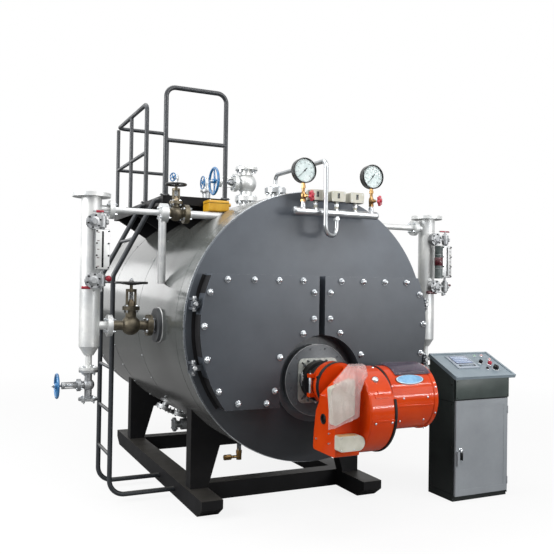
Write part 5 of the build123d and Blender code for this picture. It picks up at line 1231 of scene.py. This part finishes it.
# black bands on the front plate beside both doors: painted shade of the gap round the doors
doorRound = {"backY": -0.0198, "shadeBandR": (0.8300, 0.856), "shadeBandThick": 0.0018, "shadeBandArc": (-36.8, 23.0),
             "edgeShadeR": (0.8335, 0.8357), "edgeShadeDeep": (0.010, 0.104),
             "edgeShadeArcs": ((-36.8, -21.4), (-12.1, 5.8), (15.0, 23.0)), "hingeZ": (1.42, 1.03),
             "rivetZ": (1.10, 1.30, 1.50)}


# a band round the doors' axis between two angles; depth is measured out from the front plate
def doorArc(piece, radii, depths, low, high, mirrored, segments):
    (inner, outer), (back, near) = radii, depths
    place = facingFront((0, doorRound["backY"], boiler["axisZ"]))
    place @= Matrix.Rotation(radians(180 - high if mirrored else low), 4, "Z")
    turned(piece, [(inner, back), (outer, back), (outer, near), (inner, near)], place, segments, 0,
           radians(high - low), closed=True)


piece = bmesh.new()
for mirrored in (False, True):
    doorArc(piece, doorRound["shadeBandR"], (0, doorRound["shadeBandThick"]), *doorRound["shadeBandArc"], mirrored, 48)
finishPiece("door_shade_bands", piece, [heatBlack])
# the black strip on each door's edge is painted shade on the door's side; it stops short of the hinges, so that
# it clears their nuts as the door swings
for name, mirrored, body in (("left_door_edge_shade", True, "left_door"), ("right_door_edge_shade", False, "root")):
    piece = bmesh.new()
    for low, high in doorRound["edgeShadeArcs"]:
        doorArc(piece, doorRound["edgeShadeR"], doorRound["edgeShadeDeep"], low, high, mirrored, 24)
    finishPiece(name, piece, [heatBlack], body)
# hinge pins' bright sleeves, big nuts and screws
piece = bmesh.new()
for side in (-1, 1):
    for z in doorRound["hingeZ"]:
        bar(piece, (side * 0.858, -0.082, z - 0.047), (side * 0.858, -0.082, z + 0.047), 0.0125, None, 20, 0,
            0.002)
        spindle(piece, [(0.62, 0), (0.62, 0.12), (0.577, 0.14), (0.577, 0.62), (0.5, 0.7)],
                standing((side * 0.858, -0.099, z), (0, -1, 0)) @ Matrix.Scale(0.026, 4), 6)
        for dz in (-0.030, 0.030):
            fasten(piece, boltHead, 0.012, (side * 0.868, -0.094, z + dz), turn=z)
finishPiece("door_hinge_caps", piece, [castSteel])
# rivets down the plate behind the slot between the doors
piece = bmesh.new()
for side in (-1, 1):
    for z in doorRound["rivetZ"]:
        panHead(piece, facingFront((side * 0.012, -0.0205, z)), 0.006, 0.005, 0.003, 0.0035, 12, 0)
finishPiece("mullion_rivets", piece, [castSteel])
print("doors trimmed")

# two short nozzles low on the shell's left, closed with blind flanges
nozzles = {"y": 1.90, "angles": (29.0, 19.8), "from": 0.885, "to": 0.957, "flangeR": 0.075, "pitchR": 0.0585}
n, t, r = nozzles["from"], nozzles["to"], nozzles["flangeR"]
piece = bmesh.new()
for angle in nozzles["angles"]:
    out = Vector((-sin(radians(angle)), 0, -cos(radians(angle))))
    foot = Vector((0, nozzles["y"], boiler["axisZ"]))
    spindle(piece, [(0.036, n), (0.030, n + 0.014), (0.030, t - 0.030), (r, t - 0.030), (r, t - 0.015),
                    (r * 0.82, t - 0.015), (r * 0.82, t - 0.012), (r, t - 0.012), (r, t),
                    (r - 0.003, t + 0.003), (r * 0.5, t + 0.004)], standing(foot, out), 36)
    boltCircle(piece, foot + out * (t + 0.002), out, nozzles["pitchR"], 4, 0.031, 0.013, pi / 4)
finishPiece("shell_nozzles", piece, [castSteel])

# vent: small angle body on its flange, stem to a blue handwheel; a second cock farther back
vent = {"at": (-0.06, 2.0, 0), "stemZ": 2.482, "bonnetX": (-0.05, -0.086), "stemX": (-0.080, -0.108),
        "cockAt": (-0.165, 2.612, 0), "cockStem": ((-0.165, 2.612, 2.607), (-0.215, 2.586, 2.607))}
piece = bmesh.new()
turned(piece, [(0, 2.413), (0.044, 2.413), (0.044, 2.424), (0.026, 2.426), (0.023, 2.444), (0.033, 2.466),
               (0.035, 2.486), (0.030, 2.506), (0.020, 2.516), (0.020, 2.526), (0, 2.528)],
       standing(vent["at"]), 32)
bonnet, stem = ([(x, vent["at"][1], vent["stemZ"]) for x in vent[part]] for part in ("bonnetX", "stemX"))
bar(piece, *bonnet, 0.018, 0.014, 20, 0, 0.002)
bar(piece, *stem, 0.007, None, 12)
turned(piece, [(0, 2.148), (0.026, 2.148), (0.026, 2.158), (0.0165, 2.160), (0.0165, 2.572), (0.024, 2.580),
               (0.027, 2.605), (0.022, 2.630), (0.012, 2.638), (0, 2.640)], standing(vent["cockAt"]), 24)
bar(piece, *vent["cockStem"], 0.008, None, 12)
finishPiece("vent_stems", piece, [silverPaint])
smallWheels = {
    "vent_wheel": {"at": (-0.098, 2.0, 2.482), "axis": (-1, 0, 0), "ringR": 0.058},
    "rear_cock_wheel": {"at": (-0.205, 2.591, 2.607), "axis": (-0.9, -0.45, 0), "ringR": 0.040},
}
for name, wheel in smallWheels.items():
    piece = bmesh.new()
    place = standing(wheel["at"], wheel["axis"])
    ringTube(piece, place, wheel["ringR"], 0.0062, 36, 8)
    spokes(piece, place, 4, (0.008, 0), (wheel["ringR"], 0), 0.005, 0.004, 8, pi / 4)
    spindle(piece, [(0.013, -0.008), (0.013, 0.008), (0.006, 0.012)], place, 16)
    finishPiece(name, piece, [wheelBlue])

# drain under the shell: zinc pipe above the brass cock, lever grip
shellDrain = {"x": 0, "y": 1.255, "pipeZ": (0.168, 0.372), "pipeR": 0.0185, "nutZ": (0.146, 0.172),
              "nutR": 0.0265, "grip": ((-0.136, 1.241, 0.098), (-0.066, 1.269, 0.142))}
x, y, r = shellDrain["x"], shellDrain["y"], shellDrain["nutR"]
(low, high), (foot, top) = shellDrain["pipeZ"], shellDrain["nutZ"]
piece = bmesh.new()
bar(piece, (x, y, low), (x, y, high), shellDrain["pipeR"], None, 24, 0, 0.001)
spindle(piece, [(r, foot), (r, top)], standing((x, y, 0)), 6, 1)
block(piece, *shellDrain["grip"], 0.009, 1)
finishPiece("shell_drain_trim", piece, [zincSteel, brass])
print("valves and drains finished")

# platform: chequer pattern raised on the tread
deckTop = {"x": (-0.835, -0.355), "y": (0.712, 2.278), "z": 2.1722, "pitch": 0.0364, "long": 0.026,
           "wide": 0.0055, "rise": 0.0018, "in": (0.02, 0.015)}
l, w = deckTop["long"] / 2, deckTop["wide"] / 2
shape = bmesh.new()
plate(shape, [(-l, 0), (-l * 0.4, -w), (l * 0.4, -w), (l, 0), (l * 0.4, w), (-l * 0.4, w)], deckTop["rise"],
      Matrix())
lozenge = asMesh(shape, "template")
piece = bmesh.new()
x, row = deckTop["x"][0] + deckTop["in"][0], 0
while x < deckTop["x"][1] - deckTop["in"][1]:
    y, col = deckTop["y"][0] + deckTop["in"][0], 0
    while y < deckTop["y"][1] - deckTop["in"][1]:
        turn = pi / 4 if (row + col) % 2 else -pi / 4
        stamp(piece, lozenge, standing((x, y, deckTop["z"] - 0.0004), turn=turn))
        y, col = y + deckTop["pitch"], col + 1
    x, row = x + deckTop["pitch"], row + 1
finishPiece("deck_tread", piece, [skidPaint])
# a welded bead, foot plate and two bolts at each rail foot
railFeet = {"places": ((-0.825, 0.722), (-0.365, 0.722), (-0.825, 1.26), (-0.825, 2.262), (-0.365, 2.262),
                       (-0.825, 1.76)),
            "half": (0.034, 0.015), "thick": 0.006, "boltX": 0.026, "boltZ": 2.178}
(halfX, halfY), foot = railFeet["half"], deckTop["z"]
piece = bmesh.new()
for x, y in railFeet["places"]:
    turned(piece, [(0.014, 2.171), (0.026, 2.171), (0.019, 2.181), (0.016, 2.183)], standing((x, y, 0)), 20,
           closed=True)
    block(piece, (x - halfX, y - halfY, foot), (x + halfX, y + halfY, foot + railFeet["thick"]), 0.0015)
    for side in (-1, 1):
        fasten(piece, boltHead, 0.010, (x + side * railFeet["boltX"], y, railFeet["boltZ"]), (0, 0, 1))
finishPiece("rail_feet", piece, [tubeEnamel])
# alarm box: lid seam, four lid screws and the cable gland's nut
alarmBox = {"seam": ((-0.5475, 0.5565, 2.122), (-0.3925, 0.6895, 2.1245)), "screwX": (-0.535, -0.405),
            "screwY": (0.570, 0.676), "top": 2.1435, "glandAt": (0, 0.623, 2.12)}
piece = bmesh.new()
block(piece, *alarmBox["seam"])
for x in alarmBox["screwX"]:
    for y in alarmBox["screwY"]:
        panHead(piece, standing((x, y, alarmBox["top"])), 0.0055, 0.005, 0.003, 0.0035)
spindle(piece, [(0.0185, -0.394), (0.0185, -0.380), (0.0145, -0.378), (0.0145, -0.362), (0.011, -0.358)],
        Matrix.Translation(alarmBox["glandAt"]) @ Matrix.Rotation(pi / 2, 4, "Y"), 6, 1)
finishPiece("alarm_box_trim", piece, [rubber, zincSteel])
print("platform finished")

# rear: bolts round the end plate and its cover, the cover's handle, flue flange bolts
rear = {"plateY": 3.1, "boltR": 0.845, "coverY": 3.1685, "coverZ": 0.89, "coverBoltR": 0.262, "flueX": 0.4195,
        "flueY": 3.135, "flueZ": (1.345, 1.48, 1.61, 1.74, 1.875), "handleZ": 0.95, "handle": (3.19, 3.225)}
piece = bmesh.new()
headCircle(piece, (0, rear["plateY"], boiler["axisZ"]), rear["boltR"], 24, 0.020, 0, 1)
headCircle(piece, (0, rear["coverY"], rear["coverZ"]), rear["coverBoltR"], 12, 0.018, 0.5, 1)
for side in (-1, 1):
    for z in rear["flueZ"]:
        fasten(piece, boltHead, 0.014, (side * rear["flueX"], rear["flueY"], z), (side, 0, 0), z)
(near, far), z = rear["handle"], rear["handleZ"]
for x in (-0.07, 0.07):
    bar(piece, (x, near, z), (x, far, z), 0.007, None, 12)
bar(piece, (-0.078, far, z), (0.078, far, z), 0.008, None, 16, 0, 0.003)
finishPiece("rear_fasteners", piece, [zincSteel])
# weld beads where nozzles leave the cladding: x, y and radius on top, one on each side for the water lines
welds = {"top": ((0, 1.19, 0.052), (0, 0.62, 0.032), (-0.06, 2.0, 0.026)), "bead": 0.005,
         "side": (0.8965, 1.255, 0.117)}
piece = bmesh.new()
for x, y, r in welds["top"]:
    top = boiler["axisZ"] + sqrt(boiler["shellR"] ** 2 - x * x) + 0.001
    ringTube(piece, standing((x, y, top)), r, welds["bead"], 32, 8)
x, z, r = welds["side"]
for side in (-1, 1):
    ringTube(piece, standing((side * x, boiler["columnY"], z), (side, 0, 0)), r, welds["bead"], 48, 8)
finishPiece("nozzle_welds", piece, [silverPaint])
# dark gaskets between bolted flanges: middle, axis, radius
gaskets = [((x, boiler["columnY"], z), (1, 0, 0), r) for x, z, r in (
    (-0.875, 2.03, 0.058), (-0.965, 1.255, 0.064), (0.965, 1.255, 0.064), (-1.235, 2.03, 0.056),
    (1.235, 2.03, 0.056), (-1.235, 1.255, 0.066), (1.235, 1.255, 0.066))]
gaskets += [((0, 1.19, 2.25), (0, 0, 1), 0.086), ((0, 0.62, 2.251), (0, 0, 1), 0.074)]
piece = bmesh.new()
for centre, axis, r in gaskets:
    turned(piece, [(r - 0.012, -0.0016), (r, -0.0016), (r, 0.0016), (r - 0.012, 0.0016)],
           standing(centre, axis), 40, closed=True)
finishPiece("flange_gaskets", piece, [rubber])
print("rear and shell fittings finished")

# studio: pale floor that keeps the shadow, white background, soft lamps at a plain level
studio = {"low": "#8a8a8a", "high": "#949494", "seen": "#f6f6f6", "patch": 1 / 0.6, "size": 60.0,
          "middle": (0.0, 1.4, 0.0), "fade": (2.5, 7.0), "nearWhite": 0.86, "sky": 0.42}
shape = bmesh.new()
bmesh.ops.create_grid(shape, x_segments=2, y_segments=2, size=studio["size"],
                      matrix=Matrix.Translation((0, 1.5, -0.002)))
floor = bpy.data.objects.new("studio_floor", asMesh(shape, "studio_floor"))
scene.collection.objects.link(floor)
material, tree, shader, where = startMaterial("studioFloorVinyl", Roughness=0.85, Specular_IOR_Level=0.1)
tone = cloudyTone(tree, where, studio, (0.4, 0.6), 3.0)[1]
rays = addNode(tree, "ShaderNodeLightPath")
seen = addNode(tree, "ShaderNodeMath", {"operation": "MAXIMUM"},
               {0: rays.outputs["Is Camera Ray"], 1: rays.outputs["Is Transmission Ray"]}).outputs[0]
pale = addNode(tree, "ShaderNodeMix", {"data_type": "RGBA", 7: linear(studio["seen"])}, {0: seen, 6: tone})
tree.links.new(pale.outputs[2], shader.inputs["Base Color"])
away = addNode(tree, "ShaderNodeVectorMath", {"operation": "DISTANCE", 1: studio["middle"]}, {0: where})
start, end = studio["fade"]
fade = addNode(tree, "ShaderNodeMapRange",
               {"From Min": start, "From Max": end, "To Min": studio["nearWhite"]},
               {"Value": away.outputs["Value"]})
share = addNode(tree, "ShaderNodeMath", {"operation": "MULTIPLY"}, {0: seen, 1: fade.outputs[0]})
glow = addNode(tree, "ShaderNodeEmission", {"Color": (1, 1, 1, 1), "Strength": 1.0})
mixed = addNode(tree, "ShaderNodeMixShader", {},
                {0: share.outputs[0], 1: shader.outputs[0], 2: glow.outputs[0]})
surface = next(node for node in tree.nodes if node.type == "OUTPUT_MATERIAL")
tree.links.new(mixed.outputs[0], surface.inputs["Surface"])
floor.data.materials.append(material)

world = bpy.data.worlds.new("studioWhite")
scene.world = world
world.use_nodes = True
tree = world.node_tree
tree.nodes.clear()
rays = addNode(tree, "ShaderNodeLightPath")
seen = rays.outputs["Is Camera Ray"]
for kind in ("Is Glossy Ray", "Is Transmission Ray"):
    seen = addNode(tree, "ShaderNodeMath", {"operation": "MAXIMUM"},
                   {0: seen, 1: rays.outputs[kind]}).outputs[0]
level = addNode(tree, "ShaderNodeMapRange", {"To Min": studio["sky"], "To Max": 1.0}, {"Value": seen})
light = addNode(tree, "ShaderNodeBackground", {"Color": (1, 1, 1, 1)}, {"Strength": level.outputs[0]})
addNode(tree, "ShaderNodeOutputWorld", {}, {"Surface": light.outputs[0]})

lamps = {
    "front": {"at": (0.2, -2.0, 4.3), "to": (0.0, 0.0, 1.4), "size": (2.4, 1.2), "power": 46.0},
    "roof": {"at": (-1.5, 1.6, 6.2), "to": (0.0, 1.4, 1.0), "size": (4.0, 5.0), "power": 150.0},
    "left": {"at": (-5.4, 0.2, 3.3), "to": (-0.6, 1.1, 1.7), "size": (3.0, 2.0), "power": 210.0},
    "farLeft": {"at": (-2.6, 8.8, 2.8), "to": (-0.8, 1.0, 1.5), "size": (2.2, 1.4), "power": 14.0},
    "upperStrip": {"at": (3.2, -4.6, 4.9), "to": (0.3, -0.5, 0.9), "size": (3.2, 0.16), "power": 80.0},
    "middle": {"at": (3.3, -5.0, 3.0), "to": (0.3, -0.5, 0.9), "size": (2.6, 1.9), "power": 30.0},
    "lowerStrip": {"at": (3.4, -5.2, 1.7), "to": (0.3, -0.5, 0.9), "size": (3.2, 0.16), "power": 80.0},
}
for name, lamp in lamps.items():
    data = bpy.data.lights.new(name, "AREA")
    data.shape = "RECTANGLE"
    data.size, data.size_y = lamp["size"]
    data.energy = lamp["power"]
    source = bpy.data.objects.new(name, data)
    source.location = lamp["at"]
    source.rotation_euler = (Vector(lamp["to"]) - Vector(lamp["at"])).to_track_quat("-Z", "Y").to_euler()
    source.visible_camera = False
    scene.collection.objects.link(source)

# the photograph's viewpoint: a 46 mm lens on a 36 mm frame, a little over eye height
viewpoint = {"at": (-2.22977, -4.15396, 1.52986), "right": (0.904034, -0.427186, 0.015330),
             "up": (-0.019893, -0.006222, 0.999783), "forward": (0.426998, 0.904142, 0.014123),
             "lens": 45.590}
data = bpy.data.cameras.new("photoCamera")
data.sensor_width, data.lens = 36.0, viewpoint["lens"]
camera = bpy.data.objects.new("photoCamera", data)
axes = Matrix((viewpoint["right"], viewpoint["up"], -Vector(viewpoint["forward"]))).transposed().to_4x4()
camera.matrix_world = Matrix.Translation(viewpoint["at"]) @ axes
scene.collection.objects.link(camera)
scene.camera = camera
scene.view_settings.view_transform = "Standard"
print("studio and camera set")
